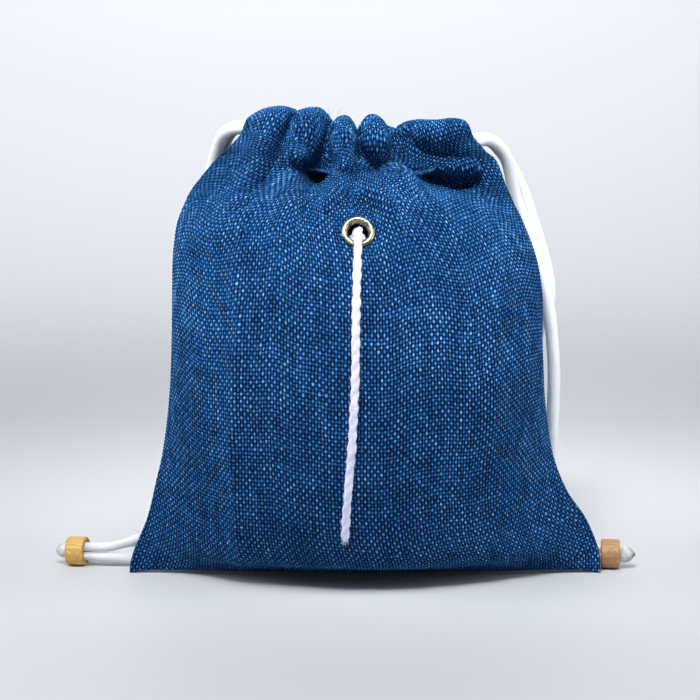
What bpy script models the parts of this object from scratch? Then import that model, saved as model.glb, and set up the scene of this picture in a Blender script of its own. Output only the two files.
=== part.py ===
"""Kinchaku drawstring pouch: two jute panels with folded hems, two drawstrings with wooden beads,
a brass eyelet and a pull string. Metres, +Z up, the front faces -Y, the pouch stands on z = 0."""

import math

import bmesh
import bpy
from mathutils import Vector

# Cloth
CLOTH_THICKNESS = 0.0016
SEAM_GAP = 0.00015  # half the gap between the front and back panels
COLUMNS = 36  # grid steps across a panel

# Body of the pouch, from the base to just under the hem:
# height at the middle, height at the side seam, left edge, right edge, front depth, back depth, roundness
# A roundness of 1 is an ellipse in plan; above 2 the corners are drawn out into flat ears.
BODY_ROWS = [
    (0.0016, 0.0016, -0.1190, 0.1190, 0.0000, 0.0000, 2.6),
    (0.0016, 0.0060, -0.1186, 0.1188, 0.0070, 0.0120, 2.6),
    (0.0016, 0.0120, -0.1170, 0.1180, 0.0140, 0.0240, 2.6),
    (0.0060, 0.0200, -0.1135, 0.1150, 0.0290, 0.0360, 2.5),
    (0.0140, 0.0300, -0.1095, 0.1100, 0.0425, 0.0460, 2.3),
    (0.0280, 0.0440, -0.1055, 0.1000, 0.0515, 0.0530, 2.0),
    (0.0500, 0.0640, -0.1005, 0.0925, 0.0570, 0.0575, 1.5),
    (0.0800, 0.0900, -0.0970, 0.0885, 0.0595, 0.0590, 1.1),
    (0.1100, 0.1160, -0.0955, 0.0870, 0.0590, 0.0570, 1.0),
    (0.1390, 0.1410, -0.0950, 0.0868, 0.0550, 0.0530, 1.0),
    (0.1600, 0.1600, -0.0945, 0.0835, 0.0485, 0.0470, 1.0),
    (0.1770, 0.1760, -0.0925, 0.0775, 0.0400, 0.0395, 1.0),
    (0.1875, 0.1860, -0.0890, 0.0730, 0.0340, 0.0330, 0.9),
    (0.1950, 0.1945, -0.0845, 0.0690, 0.0275, 0.0270, 0.8),
]
MIDDLE_FLAT = 0.55  # share of the half width that keeps the middle's height near the base

# Hem: x, height of the channel's centre
CHANNEL_LINE = [(-0.057, 0.2200), (-0.033, 0.2160), (-0.004, 0.2115), (0.020, 0.2125), (0.048, 0.2190)]
CHANNEL_SETBACK = 0.0110  # distance of each channel from the middle plane
CHANNEL_HALF_WIDTH = 0.0041
CHANNEL_HALF_HEIGHT = 0.0078
# Gathers along the front hem: x, height of the hem's crest, how far the fold stands out
FRONT_GATHERS = [
    (-0.0570, 0.2310, 0.0030),
    (-0.0450, 0.2360, 0.0085),
    (-0.0330, 0.2320, 0.0030),
    (-0.0250, 0.2360, 0.0095),
    (-0.0170, 0.2260, 0.0000),
    (-0.0105, 0.2317, 0.0085),
    (-0.0040, 0.2212, 0.0000),
    (0.0045, 0.2317, 0.0090),
    (0.0115, 0.2230, 0.0000),
    (0.0185, 0.2242, 0.0045),
    (0.0240, 0.2238, 0.0010),
    (0.0330, 0.2304, 0.0095),
    (0.0480, 0.2292, 0.0030),
]
BACK_GATHERS = [
    (-0.0570, 0.2296, 0.0020),
    (-0.0450, 0.2310, 0.0080),
    (-0.0340, 0.2270, 0.0010),
    (-0.0250, 0.2285, 0.0080),
    (-0.0150, 0.2232, 0.0010),
    (-0.0040, 0.2212, 0.0050),
    (0.0060, 0.2255, 0.0085),
    (0.0170, 0.2222, 0.0010),
    (0.0300, 0.2280, 0.0090),
    (0.0400, 0.2284, 0.0020),
    (0.0480, 0.2290, 0.0020),
]

# Eyelet
EYELET_X = -0.0040
EYELET_ROW = 11.0 - 0.12  # row of the cloth grid that the eyelet is centred on
EYELET_FLANGE_RADIUS = 0.0080
EYELET_HOLE_RADIUS = 0.0050
EYELET_WALL = 0.0006
EYELET_FLAT_RADIUS = 0.0125  # the cloth is pressed flat this far out

# Drawstrings and beads
CORD_DIAMETER = 0.0065
SQUEEZED = 0.71  # share of the cord's diameter that is left inside a bead
BEAD_RADIUS = 0.0074
BEAD_BORE_RADIUS = 0.0050
BEAD_LENGTH = 0.0096
BEAD_CHAMFER = 0.0012
LEFT_BEAD_CENTRE = (-0.1479, 0.0156, 0.0075)
LEFT_BEAD_YAW = math.radians(168)
RIGHT_BEAD_CENTRE = (0.1253, 0.0090, 0.0075)
RIGHT_BEAD_YAW = math.radians(-8)
TIP_LENGTH = 0.0072
TIP_RADIUS = 0.0047

# Route of each drawstring from its melted tip, up behind the pouch, along the front channel,
# round the far end, back along the back channel and down to the tip again
LEFT_CORD_ROUTE = [
    (-0.1529, 0.0167, 0.0050),
    (-0.1479, 0.0156, 0.0050),
    (-0.1394, 0.0138, 0.0050),
    (-0.1308, 0.0122, 0.0048),
    (-0.1190, 0.0155, 0.0034),
    (-0.1075, 0.0215, 0.0060),
    (-0.0970, 0.0290, 0.0200),
    (-0.0885, 0.0355, 0.0550),
    (-0.0845, 0.0390, 0.1050),
    (-0.0820, 0.0360, 0.1550),
    (-0.0785, 0.0270, 0.1970),
    (-0.0732, 0.0150, 0.2160),
    (-0.0665, 0.0015, 0.2233),
    (-0.0570, -0.0085, 0.2245),
    (-0.0460, -0.0110, 0.2219),
    (-0.0250, -0.0110, 0.2188),
    (-0.0040, -0.0110, 0.2151),
    (0.0200, -0.0110, 0.2161),
    (0.0340, -0.0110, 0.2192),
    (0.0420, -0.0080, 0.2218),
    (0.0455, 0.0000, 0.2224),
    (0.0420, 0.0080, 0.2218),
    (0.0340, 0.0110, 0.2192),
    (0.0200, 0.0110, 0.2161),
    (-0.0040, 0.0110, 0.2151),
    (-0.0250, 0.0110, 0.2188),
    (-0.0460, 0.0110, 0.2219),
    (-0.0580, 0.0110, 0.2234),
    (-0.0672, 0.0155, 0.2220),
    (-0.0725, 0.0275, 0.2060),
    (-0.0730, 0.0440, 0.1550),
    (-0.0740, 0.0490, 0.1050),
    (-0.0770, 0.0480, 0.0550),
    (-0.0850, 0.0500, 0.0200),
    (-0.0940, 0.0480, 0.0075),
    (-0.1030, 0.0380, 0.0090),
    (-0.1115, 0.0260, 0.0118),
    (-0.1210, 0.0165, 0.0119),
    (-0.1308, 0.0126, 0.0103),
    (-0.1394, 0.0138, 0.0099),
    (-0.1479, 0.0156, 0.0099),
    (-0.1529, 0.0167, 0.0099),
]
RIGHT_CORD_ROUTE = [
    (0.1304, 0.0083, 0.0050),
    (0.1253, 0.0090, 0.0050),
    (0.1167, 0.0102, 0.0050),
    (0.1085, 0.0120, 0.0050),
    (0.1025, 0.0165, 0.0046),
    (0.0985, 0.0210, 0.0070),
    (0.0965, 0.0250, 0.0160),
    (0.0965, 0.0275, 0.0400),
    (0.0970, 0.0280, 0.0750),
    (0.0970, 0.0280, 0.1050),
    (0.0932, 0.0275, 0.1365),
    (0.0838, 0.0260, 0.1670),
    (0.0760, 0.0215, 0.1890),
    (0.0700, 0.0120, 0.2095),
    (0.0605, 0.0010, 0.2182),
    (0.0500, -0.0070, 0.2162),
    (0.0400, -0.0110, 0.2138),
    (0.0200, -0.0110, 0.2089),
    (-0.0040, -0.0110, 0.2079),
    (-0.0250, -0.0110, 0.2116),
    (-0.0420, -0.0110, 0.2143),
    (-0.0500, -0.0080, 0.2160),
    (-0.0535, 0.0000, 0.2164),
    (-0.0500, 0.0080, 0.2160),
    (-0.0420, 0.0110, 0.2143),
    (-0.0250, 0.0110, 0.2116),
    (-0.0040, 0.0110, 0.2079),
    (0.0200, 0.0110, 0.2089),
    (0.0400, 0.0110, 0.2138),
    (0.0510, 0.0105, 0.2170),
    (0.0600, 0.0130, 0.2182),
    (0.0675, 0.0200, 0.2130),
    (0.0750, 0.0270, 0.2020),
    (0.0835, 0.0315, 0.1830),
    (0.0946, 0.0335, 0.1450),
    (0.0930, 0.0360, 0.1260),
    (0.0850, 0.0410, 0.1050),
    (0.0810, 0.0420, 0.0750),
    (0.0825, 0.0410, 0.0450),
    (0.0900, 0.0365, 0.0180),
    (0.0980, 0.0260, 0.0120),
    (0.1030, 0.0185, 0.0106),
    (0.1085, 0.0120, 0.0099),
    (0.1167, 0.0102, 0.0099),
    (0.1253, 0.0090, 0.0099),
    (0.1304, 0.0083, 0.0099),
]
SQUEEZED_LENGTH = 0.029  # how much of each end stays squeezed
CORD_SPACING = 0.0107

# Route of the pull string from its knot inside, out through the eyelet and down the front
STRING_ROUTE = [
    (-0.0047, -0.0323, 0.1706),
    (-0.0042, -0.0375, 0.1735),
    (-0.0039, -0.0418, 0.1756),
    (-0.0038, -0.0454, 0.1764),
    (-0.0039, -0.0484, 0.1736),
    (-0.0040, -0.0506, 0.1688),
    (-0.0043, -0.0532, 0.1610),
    (-0.0046, -0.0571, 0.1500),
    (-0.0049, -0.0602, 0.1390),
    (-0.0051, -0.0629, 0.1240),
    (-0.0053, -0.0642, 0.1080),
    (-0.0060, -0.0647, 0.0920),
    (-0.0068, -0.0645, 0.0770),
    (-0.0080, -0.0634, 0.0620),
    (-0.0090, -0.0618, 0.0500),
    (-0.0097, -0.0595, 0.0390),
    (-0.0101, -0.0568, 0.0290),
]
STRING_DIAMETER = 0.0046
STRING_SPACING = 0.0045
KNOT_SWELL = 1.3  # how much wider than the string its knot is
THREAD_DIAMETER = 0.0008

POUCH = bpy.data.collections.new("kinchaku_pouch")
CUTTERS = bpy.data.collections.new("cutters")


def clear_scene():
    for item in list(bpy.data.objects):
        bpy.data.objects.remove(item, do_unlink=True)
    bpy.context.scene.collection.children.link(POUCH)
    bpy.context.scene.collection.children.link(CUTTERS)


def make_material(name, colour, roughness, metallic=0.0):
    material = bpy.data.materials.new(name)
    material.use_nodes = True
    shader = material.node_tree.nodes["Principled BSDF"]
    shader.inputs["Base Color"].default_value = (*colour, 1.0)
    shader.inputs["Roughness"].default_value = roughness
    shader.inputs["Metallic"].default_value = metallic
    return material


def add_object(name, mesh, material, collection=None):
    item = bpy.data.objects.new(name, mesh)
    (collection or POUCH).objects.link(item)
    if material:
        mesh.materials.append(material)
    return item


def smoothstep(value):
    value = min(max(value, 0.0), 1.0)
    return value * value * (3.0 - 2.0 * value)


def smooth_between(points, x):
    """The values after x in a list of points, eased from one point to the next."""
    if x <= points[0][0]:
        return points[0][1:]
    for low, high in zip(points, points[1:]):
        if x <= high[0]:
            share = smoothstep((x - low[0]) / (high[0] - low[0]))
            return tuple(a + (b - a) * share for a, b in zip(low[1:], high[1:]))
    return points[-1][1:]


def catmull_rom(points, steps):
    """Points read from one smooth curve through the given points."""
    padded = [2 * points[0] - points[1]] + points + [2 * points[-1] - points[-2]]
    curve = []
    for a, b, c, d in zip(padded, padded[1:], padded[2:], padded[3:]):
        for step in range(steps):
            t = step / steps
            curve.append(
                0.5 * ((2 * b) + (c - a) * t + (2 * a - 5 * b + 4 * c - d) * t * t
                       + (3 * b - a - 3 * c + d) * t * t * t)
            )
    curve.append(points[-1])
    return curve


def even_points(points, spacing):
    """The same path with its points at an even spacing."""
    lengths = [0.0]
    for a, b in zip(points, points[1:]):
        lengths.append(lengths[-1] + (b - a).length)
    count = max(2, round(lengths[-1] / spacing))
    path, at = [], 0
    for step in range(count + 1):
        goal = lengths[-1] * step / count
        while at < len(lengths) - 2 and lengths[at + 1] < goal:
            at += 1
        share = (goal - lengths[at]) / (lengths[at + 1] - lengths[at])
        path.append(points[at].lerp(points[at + 1], share))
    return path


def body_point(row, column, back):
    """A point on the inner face of a panel's body, drawn on the front; column runs from -1 to 1."""
    middle_z, side_z, left, right, front_depth, back_depth, roundness = row
    depth = back_depth if back else front_depth
    angle = column * math.pi / 2
    centre = (left + right) / 2
    half = (right - left) / 2
    spread = smoothstep((middle_z - 0.170) / 0.030)
    across = math.sin(angle) * (1 - spread) + column * spread
    away = smoothstep((abs(column) - MIDDLE_FLAT) / (1 - MIDDLE_FLAT))
    swell = max(math.cos(angle), 0.0) ** roundness
    return Vector((
        centre + half * across,
        -SEAM_GAP - depth * swell,
        middle_z + (side_z - middle_z) * away,
    ))


def hem_profile(column, gathers):
    """The folded hem's inner face, from the stitching line up, over and down inside.

    The hem flares at its foot, and its inner layer is narrower, so the cords turn round its ends."""
    left, right = CHANNEL_LINE[0][0], CHANNEL_LINE[-1][0]
    middle = (left + right) / 2
    x = middle + (right - left) / 2 * column
    channel_z = smooth_between(CHANNEL_LINE, x)[0]
    crest, fold = smooth_between(gathers, x)
    rise = crest - CLOTH_THICKNESS - CHANNEL_HALF_HEIGHT - channel_z
    width = CHANNEL_HALF_WIDTH
    top = CHANNEL_HALF_HEIGHT
    end = abs(column) ** 6  # at the ends the foot of the hem is drawn in towards the side seam
    offsets = [
        (1.29, (-width - 0.0040 - 0.5 * fold) * (1 - end) + 0.0040 * end, -0.0105),
        (1.18, (-width - 0.0020 - 0.8 * fold) * (1 - end) - 0.0030 * end, -0.0050),
        (1.07, -width - fold * (1 - 0.6 * end), 0.0005),
        (1.02, -width - 0.85 * fold, 0.0055 + 0.5 * rise),
        (0.98, -0.7 * width - 0.45 * fold, top + 0.82 * rise),
        (0.92, 0.0, top + rise),
        (0.80, 0.75 * width, top + 0.75 * rise),
        (0.71, width, 0.0045 + 0.3 * rise),
        (0.70, width, -0.0035),
        (0.70, 0.55 * width, -0.0088),
        (0.72, -width - 0.0028, -0.0102),
    ]
    profile = []
    for spread, dy, dz in offsets:
        spread_x = middle + (x - middle) * spread
        channel_here = smooth_between(CHANNEL_LINE, spread_x)[0]
        profile.append(Vector((spread_x, -CHANNEL_SETBACK + dy, channel_here + dz)))
    return profile


def panel_grid(gathers, back):
    """Rows of points on a panel's inner face, body first and folded hem last, drawn on the front."""
    columns = [2 * i / COLUMNS - 1 for i in range(COLUMNS + 1)]
    left, right = CHANNEL_LINE[0][0], CHANNEL_LINE[-1][0]
    grid = []
    for row in BODY_ROWS:
        points = [body_point(row, column, back) for column in columns]
        nearness = smoothstep((row[0] - 0.150) / 0.060)
        for column, point in zip(columns, points):
            share = (point.x - row[2]) / (row[3] - row[2])
            fold = smooth_between(gathers, left + (right - left) * share)[1]
            ends = max(math.cos(column * math.pi / 2), 0.0) ** 0.5
            point.y -= (fold - 0.002) * nearness * ends
        grid.append(points)
    hems = [hem_profile(column, gathers) for column in columns]
    for number in range(len(hems[0])):
        grid.append([hem[number] for hem in hems])
    return grid


def eyelet_frame(grid):
    """Centre of the eyelet on the cloth's inner face, and the outward direction there."""
    low = grid[int(EYELET_ROW)]
    high = grid[int(EYELET_ROW) + 1]
    share = EYELET_ROW % 1
    line = [a.lerp(b, share) for a, b in zip(low, high)]
    near = min(range(len(line)), key=lambda i: abs(line[i].x - EYELET_X))
    across = (line[near + 1] - line[near - 1]).normalized()
    along = (high[near] - low[near]).normalized()
    outward = across.cross(along).normalized()
    slide = (EYELET_X - line[near].x) / across.x
    return line[near] + across * slide, outward


def press_flat(grid, centre, outward):
    """Presses the cloth flat where the eyelet is clamped."""
    for line in grid[:len(BODY_ROWS)]:
        for point in line:
            away = point - centre
            height = away.dot(outward)
            radius = (away - outward * height).length
            if away.length < 0.04:
                point -= outward * height * (1 - smoothstep((radius - EYELET_FLAT_RADIUS) / 0.010))


def make_panel(name, grid, material, mirrored):
    bm = bmesh.new()
    rows = []
    for line in grid:
        rows.append([bm.verts.new((p.x, -p.y if mirrored else p.y, p.z)) for p in line])
    for low, high in zip(rows, rows[1:]):
        for i in range(len(low) - 1):
            face = [low[i], low[i + 1], high[i + 1], high[i]]
            bm.faces.new(face[::-1] if mirrored else face)
    mesh = bpy.data.meshes.new(name)
    bm.to_mesh(mesh)
    bm.free()
    mesh.shade_smooth()
    panel = add_object(name, mesh, material)
    shell = panel.modifiers.new("thickness", "SOLIDIFY")
    shell.thickness = CLOTH_THICKNESS
    shell.offset = 1.0
    shell.use_even_offset = True
    return panel


def turned(name, profile, material, steps, collection=None):
    """A closed profile of (radius, height) points turned about the object's own Z."""
    bm = bmesh.new()
    verts = [bm.verts.new((radius, 0.0, height)) for radius, height in profile]
    for a, b in zip(verts, verts[1:] + verts[:1]):
        bm.edges.new((a, b))
    mesh = bpy.data.meshes.new(name)
    bm.to_mesh(mesh)
    bm.free()
    item = add_object(name, mesh, material, collection)
    screw = item.modifiers.new("turn", "SCREW")
    screw.steps = steps
    screw.render_steps = steps
    screw.use_merge_vertices = True
    screw.merge_threshold = 0.00001
    screw.use_smooth_shade = True
    return item


def point_along(item, centre, direction):
    item.location = centre
    item.rotation_mode = "QUATERNION"
    item.rotation_quaternion = Vector(direction).to_track_quat("Z", "Y")


def make_eyelet(centre, outward, material):
    """The brass eyelet: a rolled flange outside and a barrel that goes through the cloth."""
    top = CLOTH_THICKNESS + 0.0003
    inner = EYELET_HOLE_RADIUS
    barrel = inner + EYELET_WALL
    outer = EYELET_FLANGE_RADIUS
    roll = 0.0012
    profile = [
        (inner, -0.0012),
        (barrel, -0.0012),
        (barrel, top),
        (outer - 0.0004, top),
        (outer, top + 0.0004),
        (outer - 0.0005, top + 0.75 * roll),
        (outer - 0.0013, top + roll),
        (inner + 0.0010, top + roll),
        (inner + 0.0003, top + 0.7 * roll),
        (inner, top + 0.0002),
    ]
    eyelet = turned("eyelet", profile[::-1], material, 40)
    point_along(eyelet, centre, outward)
    return eyelet


def make_washer(centre, outward, material):
    """The ring that the eyelet is set against on the inside of the cloth."""
    inner = EYELET_HOLE_RADIUS + EYELET_WALL + 0.0003
    outer = EYELET_FLANGE_RADIUS - 0.0003
    profile = [
        (inner, -0.0003),
        (inner, -0.0009),
        (outer, -0.0009),
        (outer, -0.0003),
    ]
    washer = turned("eyelet_washer", profile[::-1], material, 32)
    point_along(washer, centre, outward)
    return washer


def cut_eyelet_hole(panel, centre, outward):
    bpy.ops.mesh.primitive_cylinder_add(
        vertices=32, radius=EYELET_HOLE_RADIUS + EYELET_WALL + 0.0003, depth=0.02
    )
    cutter = bpy.context.object
    cutter.name = "eyelet_hole_cutter"
    for collection in list(cutter.users_collection):
        collection.objects.unlink(cutter)
    CUTTERS.objects.link(cutter)
    cutter.hide_render = True
    cutter.display_type = "WIRE"
    point_along(cutter, centre, outward)
    cut = panel.modifiers.new("eyelet_hole", "BOOLEAN")
    cut.object = cutter
    cut.operation = "DIFFERENCE"
    cut.solver = "EXACT"


def make_bead(name, centre, yaw, material):
    """A turned wooden bead with chamfered ends, lying with its bore along the cord."""
    half = BEAD_LENGTH / 2
    chamfer = BEAD_CHAMFER
    profile = [
        (BEAD_BORE_RADIUS, -half + 0.0004),
        (BEAD_BORE_RADIUS + 0.0004, -half),
        (BEAD_RADIUS - chamfer, -half),
        (BEAD_RADIUS - 0.0003, -half + chamfer * 0.7),
        (BEAD_RADIUS, -half + chamfer * 1.6),
        (BEAD_RADIUS, half - chamfer * 1.6),
        (BEAD_RADIUS - 0.0003, half - chamfer * 0.7),
        (BEAD_RADIUS - chamfer, half),
        (BEAD_BORE_RADIUS + 0.0004, half),
        (BEAD_BORE_RADIUS, half - 0.0004),
    ]
    bead = turned(name, profile[::-1], material, 32)
    point_along(bead, centre, (math.cos(yaw), math.sin(yaw), 0.0))
    return bead


def make_tip(name, centre, yaw, material):
    """The cord's two ends melted together into one blunt tip, just outside the bead."""
    start = BEAD_LENGTH / 2 + 0.0006
    profile = [(0.0, start), (TIP_RADIUS * 0.86, start)]
    for step in range(7):
        angle = math.radians(15 * step)
        profile.append((TIP_RADIUS * math.cos(angle), start + 0.0014 + (TIP_LENGTH - 0.0014) * math.sin(angle)))
    profile[-1] = (0.0, start + TIP_LENGTH)
    bm = bmesh.new()
    verts = [bm.verts.new((radius, 0.0, height)) for radius, height in profile[::-1]]
    for a, b in zip(verts, verts[1:]):
        bm.edges.new((a, b))
    mesh = bpy.data.meshes.new(name)
    bm.to_mesh(mesh)
    bm.free()
    tip = add_object(name, mesh, material)
    screw = tip.modifiers.new("turn", "SCREW")
    screw.steps = 16
    screw.render_steps = 16
    screw.use_merge_vertices = True
    screw.merge_threshold = 0.00001
    screw.use_smooth_shade = True
    point_along(tip, centre, (math.cos(yaw), math.sin(yaw), 0.0))
    return tip


def make_tube(name, path, diameter, sides, material, radius_at=None):
    """A plain tube through a path's points; radius_at gives a share of the radius at each length."""
    curve = bpy.data.curves.new(name, "CURVE")
    curve.dimensions = "3D"
    curve.bevel_depth = diameter / 2
    curve.bevel_resolution = sides // 2 - 2
    curve.use_fill_caps = True
    spline = curve.splines.new("POLY")
    spline.points.add(len(path) - 1)
    travelled = 0.0
    for number, point in enumerate(path):
        travelled += (point - path[number - 1]).length if number else 0.0
        spline.points[number].co = (*point, 1.0)
        if radius_at:
            spline.points[number].radius = radius_at(travelled)
    curve.materials.append(material)
    tube = bpy.data.objects.new(name, curve)
    POUCH.objects.link(tube)
    return tube


def make_cord(name, route, material):
    """A drawstring with both ends squeezed side by side through its bead."""
    path = even_points(catmull_rom([Vector(point) for point in route], 12), CORD_SPACING)
    length = sum((b - a).length for a, b in zip(path, path[1:]))

    def radius_at(travelled):
        to_end = min(travelled, length - travelled)
        return SQUEEZED + (1 - SQUEEZED) * smoothstep((to_end - SQUEEZED_LENGTH) / 0.012)

    return make_tube(name, path, CORD_DIAMETER, 8, material, radius_at)


def make_string(name, route, material):
    """The pull string, with the knot that stops it inside the eyelet."""
    path = even_points(catmull_rom([Vector(point) for point in route], 12), STRING_SPACING)

    def radius_at(travelled):
        return 1 + KNOT_SWELL * math.exp(-(((travelled - STRING_SPACING) / 0.0030) ** 2))

    return make_tube(name, path, STRING_DIAMETER, 8, material, radius_at)


def outer_face(grid, number):
    """One row of the cloth's grid, moved out to just clear of the cloth's outer face."""
    lift = CLOTH_THICKNESS + 0.0010 + THREAD_DIAMETER / 2
    line = grid[number]
    moved = []
    for i in range(1, len(line) - 1):
        across = line[i + 1] - line[i - 1]
        along = grid[number + 1][i] - grid[number - 1][i]
        moved.append(line[i] + across.cross(along).normalized() * lift)
    return moved


def make_hem_thread(name, grid, material, mirrored):
    """The line of stitches that holds the folded hem down."""
    path = outer_face(grid, len(BODY_ROWS))
    if mirrored:
        path = [Vector((p.x, -p.y, p.z)) for p in path]
    return make_tube(name, path, THREAD_DIAMETER, 6, material)


def make_side_thread(name, side, material):
    """The thread that joins the panels along one side, just inside the seam."""
    inset = 0.0040
    points = []
    for row in BODY_ROWS[5:]:
        edge = row[2] + inset if side < 0 else row[3] - inset
        points.append(Vector((edge, 0.0, row[1])))
    return make_tube(name, even_points(catmull_rom(points, 8), 0.008), THREAD_DIAMETER, 6, material)


def make_base_thread(name, material):
    """The thread that joins the panels along the base."""
    height = BODY_ROWS[0][0] + 0.0003 + THREAD_DIAMETER / 2
    ends = [Vector((-0.095, 0.0, height)), Vector((0.095, 0.0, height))]
    return make_tube(name, even_points(ends, 0.0095), THREAD_DIAMETER, 6, material)


def main():
    clear_scene()
    jute = make_material("blue_jute", (0.020, 0.055, 0.140), 0.95)
    brass = make_material("antique_brass", (0.30, 0.20, 0.08), 0.35, 1.0)
    cotton = make_material("white_cord", (0.62, 0.64, 0.68), 0.8)
    wool = make_material("white_yarn", (0.60, 0.60, 0.75), 0.95)
    wood = make_material("bead_wood", (0.50, 0.32, 0.12), 0.55)
    thread = make_material("navy_thread", (0.010, 0.025, 0.070), 0.8)
    melted = make_material("melted_cord", (0.45, 0.42, 0.38), 0.3)

    front = panel_grid(FRONT_GATHERS, back=False)
    back = panel_grid(BACK_GATHERS, back=True)
    centre, outward = eyelet_frame(front)
    press_flat(front, centre, outward)
    front_panel = make_panel("front_panel", front, jute, mirrored=False)
    make_panel("back_panel", back, jute, mirrored=True)
    cut_eyelet_hole(front_panel, centre, outward)
    make_eyelet(centre, outward, brass)
    make_washer(centre, outward, brass)
    make_bead("left_bead", LEFT_BEAD_CENTRE, LEFT_BEAD_YAW, wood)
    make_bead("right_bead", RIGHT_BEAD_CENTRE, RIGHT_BEAD_YAW, wood)
    make_tip("left_cord_tip", LEFT_BEAD_CENTRE, LEFT_BEAD_YAW, melted)
    make_tip("right_cord_tip", RIGHT_BEAD_CENTRE, RIGHT_BEAD_YAW, melted)
    make_cord("left_cord", LEFT_CORD_ROUTE, cotton)
    make_cord("right_cord", RIGHT_CORD_ROUTE, cotton)
    make_string("pull_string", STRING_ROUTE, wool)
    make_hem_thread("front_hem_thread", front, thread, mirrored=False)
    make_hem_thread("back_hem_thread", back, thread, mirrored=True)
    make_side_thread("left_side_thread", -1, thread)
    make_side_thread("right_side_thread", 1, thread)
    make_base_thread("base_thread", thread)


main()
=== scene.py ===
import math
import random

import bmesh
import bpy
import numpy as np
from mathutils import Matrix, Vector


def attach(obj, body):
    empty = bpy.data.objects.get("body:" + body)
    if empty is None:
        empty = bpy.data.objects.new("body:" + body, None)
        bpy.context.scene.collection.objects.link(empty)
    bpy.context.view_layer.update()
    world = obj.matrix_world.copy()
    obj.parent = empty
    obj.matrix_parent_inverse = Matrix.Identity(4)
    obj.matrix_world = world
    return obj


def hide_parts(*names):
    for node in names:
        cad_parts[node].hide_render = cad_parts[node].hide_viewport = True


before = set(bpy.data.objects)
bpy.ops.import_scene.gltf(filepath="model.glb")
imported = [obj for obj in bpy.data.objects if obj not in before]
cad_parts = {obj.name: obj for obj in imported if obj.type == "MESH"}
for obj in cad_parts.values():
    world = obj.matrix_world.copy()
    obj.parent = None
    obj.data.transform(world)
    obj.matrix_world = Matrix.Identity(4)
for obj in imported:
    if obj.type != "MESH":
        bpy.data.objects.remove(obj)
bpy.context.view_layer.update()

print("pouch: frame loaded")

mm = 0.001
numberOf = random.Random(7)

studio = {
    "target": (-7.75 * mm, 0.0, 113.7 * mm),
    "distance": 1.0,
    "elevation": 7.5,  # degrees above level
    "viewWidth": 0.350,  # width of the view at the target
    "floorColour": (0.560, 0.575, 0.600),
    "skyColour": (0.90, 0.93, 0.98),
    "skyStrength": 0.16,
    "floorHalf": 3.0,
    "floorSide": 4.0,
    "bendStart": 1.2,
    "bendRadius": 0.9,
    "backdropTop": 3.5,
}


def makeCamera():
    up = math.radians(studio["elevation"])
    target = Vector(studio["target"])
    camera = bpy.data.cameras.new("studioCamera")
    camera.sensor_width = 36.0
    camera.lens = 36.0 * studio["distance"] / studio["viewWidth"]
    holder = bpy.data.objects.new("studioCamera", camera)
    holder.location = target + studio["distance"] * Vector((0.0, -math.cos(up), math.sin(up)))
    holder.rotation_euler = (math.radians(90) - up, 0.0, 0.0)
    bpy.context.scene.collection.objects.link(holder)
    bpy.context.scene.camera = holder


lamps = {
    "softboxLeft": {"place": (-1.05, -0.20, 0.58), "aim": (0, 0, 0.12), "size": (0.50, 0.60), "watts": 6.3,
                    "colour": (1.0, 0.98, 0.97)},
    "softboxTop": {"place": (-0.05, -0.50, 1.02), "aim": (0, 0, 0.12), "size": (0.7, 0.5), "watts": 6.6},
    "softboxRight": {"place": (1.0, -0.20, 0.52), "aim": (0, 0, 0.10), "size": (0.45, 0.7), "watts": 5.2},
    "hoodedLamp": {"place": (-0.10, -0.62, 0.80), "aim": (-0.005, -0.02, 0.245), "size": (0.22, 0.12),
                   "watts": 0.34, "spread": 34},
    "frontLow": {"place": (0.0, -1.1, 0.34), "aim": (0, 0, 0.0), "size": (0.9, 0.2), "watts": 0.5},
    "backdropWash": {"place": (-0.1, 0.9, 1.7), "aim": (-0.1, 2.1, 1.4), "size": (2.8, 0.8), "watts": 50.0},
}


def addLamp(name, place, aim, size, watts, colour=(1.0, 1.0, 1.0), spread=180):
    light = bpy.data.lights.new(name, "AREA")
    light.shape = "RECTANGLE"
    light.size, light.size_y = size
    light.energy = watts
    light.color = colour
    light.spread = math.radians(spread)
    holder = bpy.data.objects.new(name, light)
    holder.location = place
    holder.rotation_euler = (Vector(aim) - Vector(place)).to_track_quat("-Z", "Y").to_euler()
    bpy.context.scene.collection.objects.link(holder)


def makeStudio():
    scene = bpy.context.scene
    scene.view_settings.view_transform = "Standard"
    scene.view_settings.look = "Medium High Contrast"
    world = bpy.data.worlds.new("studioSky")
    scene.world = world
    world.use_nodes = True
    sky = world.node_tree.nodes["Background"]
    sky.inputs["Color"].default_value = (*studio["skyColour"], 1.0)
    sky.inputs["Strength"].default_value = studio["skyStrength"]
    for name, lamp in lamps.items():
        addLamp(name, **lamp)

    # floor that sweeps up into the backdrop
    bm = bmesh.new()
    bend, turn = studio["bendStart"], studio["bendRadius"]
    profile = [(-studio["floorHalf"], 0.0), (bend, 0.0)]
    for step in range(1, 13):
        angle = math.radians(90 * step / 12)
        profile.append((bend + turn * math.sin(angle), turn - turn * math.cos(angle)))
    profile.append((bend + turn, studio["backdropTop"]))
    side = studio["floorSide"]
    rows = [[bm.verts.new((x, y, z)) for x in (-side, side)] for y, z in profile]
    for low, high in zip(rows, rows[1:]):
        bm.faces.new((low[0], low[1], high[1], high[0]))
    mesh = bpy.data.meshes.new("studioFloor")
    bm.to_mesh(mesh)
    bm.free()
    mesh.shade_smooth()
    floor = bpy.data.objects.new("studioFloor", mesh)
    scene.collection.objects.link(floor)
    paper = bpy.data.materials.new("palePaper")
    paper.use_nodes = True
    shader = paper.node_tree.nodes["Principled BSDF"]
    shader.inputs["Base Color"].default_value = (*studio["floorColour"], 1.0)
    shader.inputs["Roughness"].default_value = 0.55
    shader.inputs["Specular IOR Level"].default_value = 0.25
    mesh.materials.append(paper)


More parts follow.
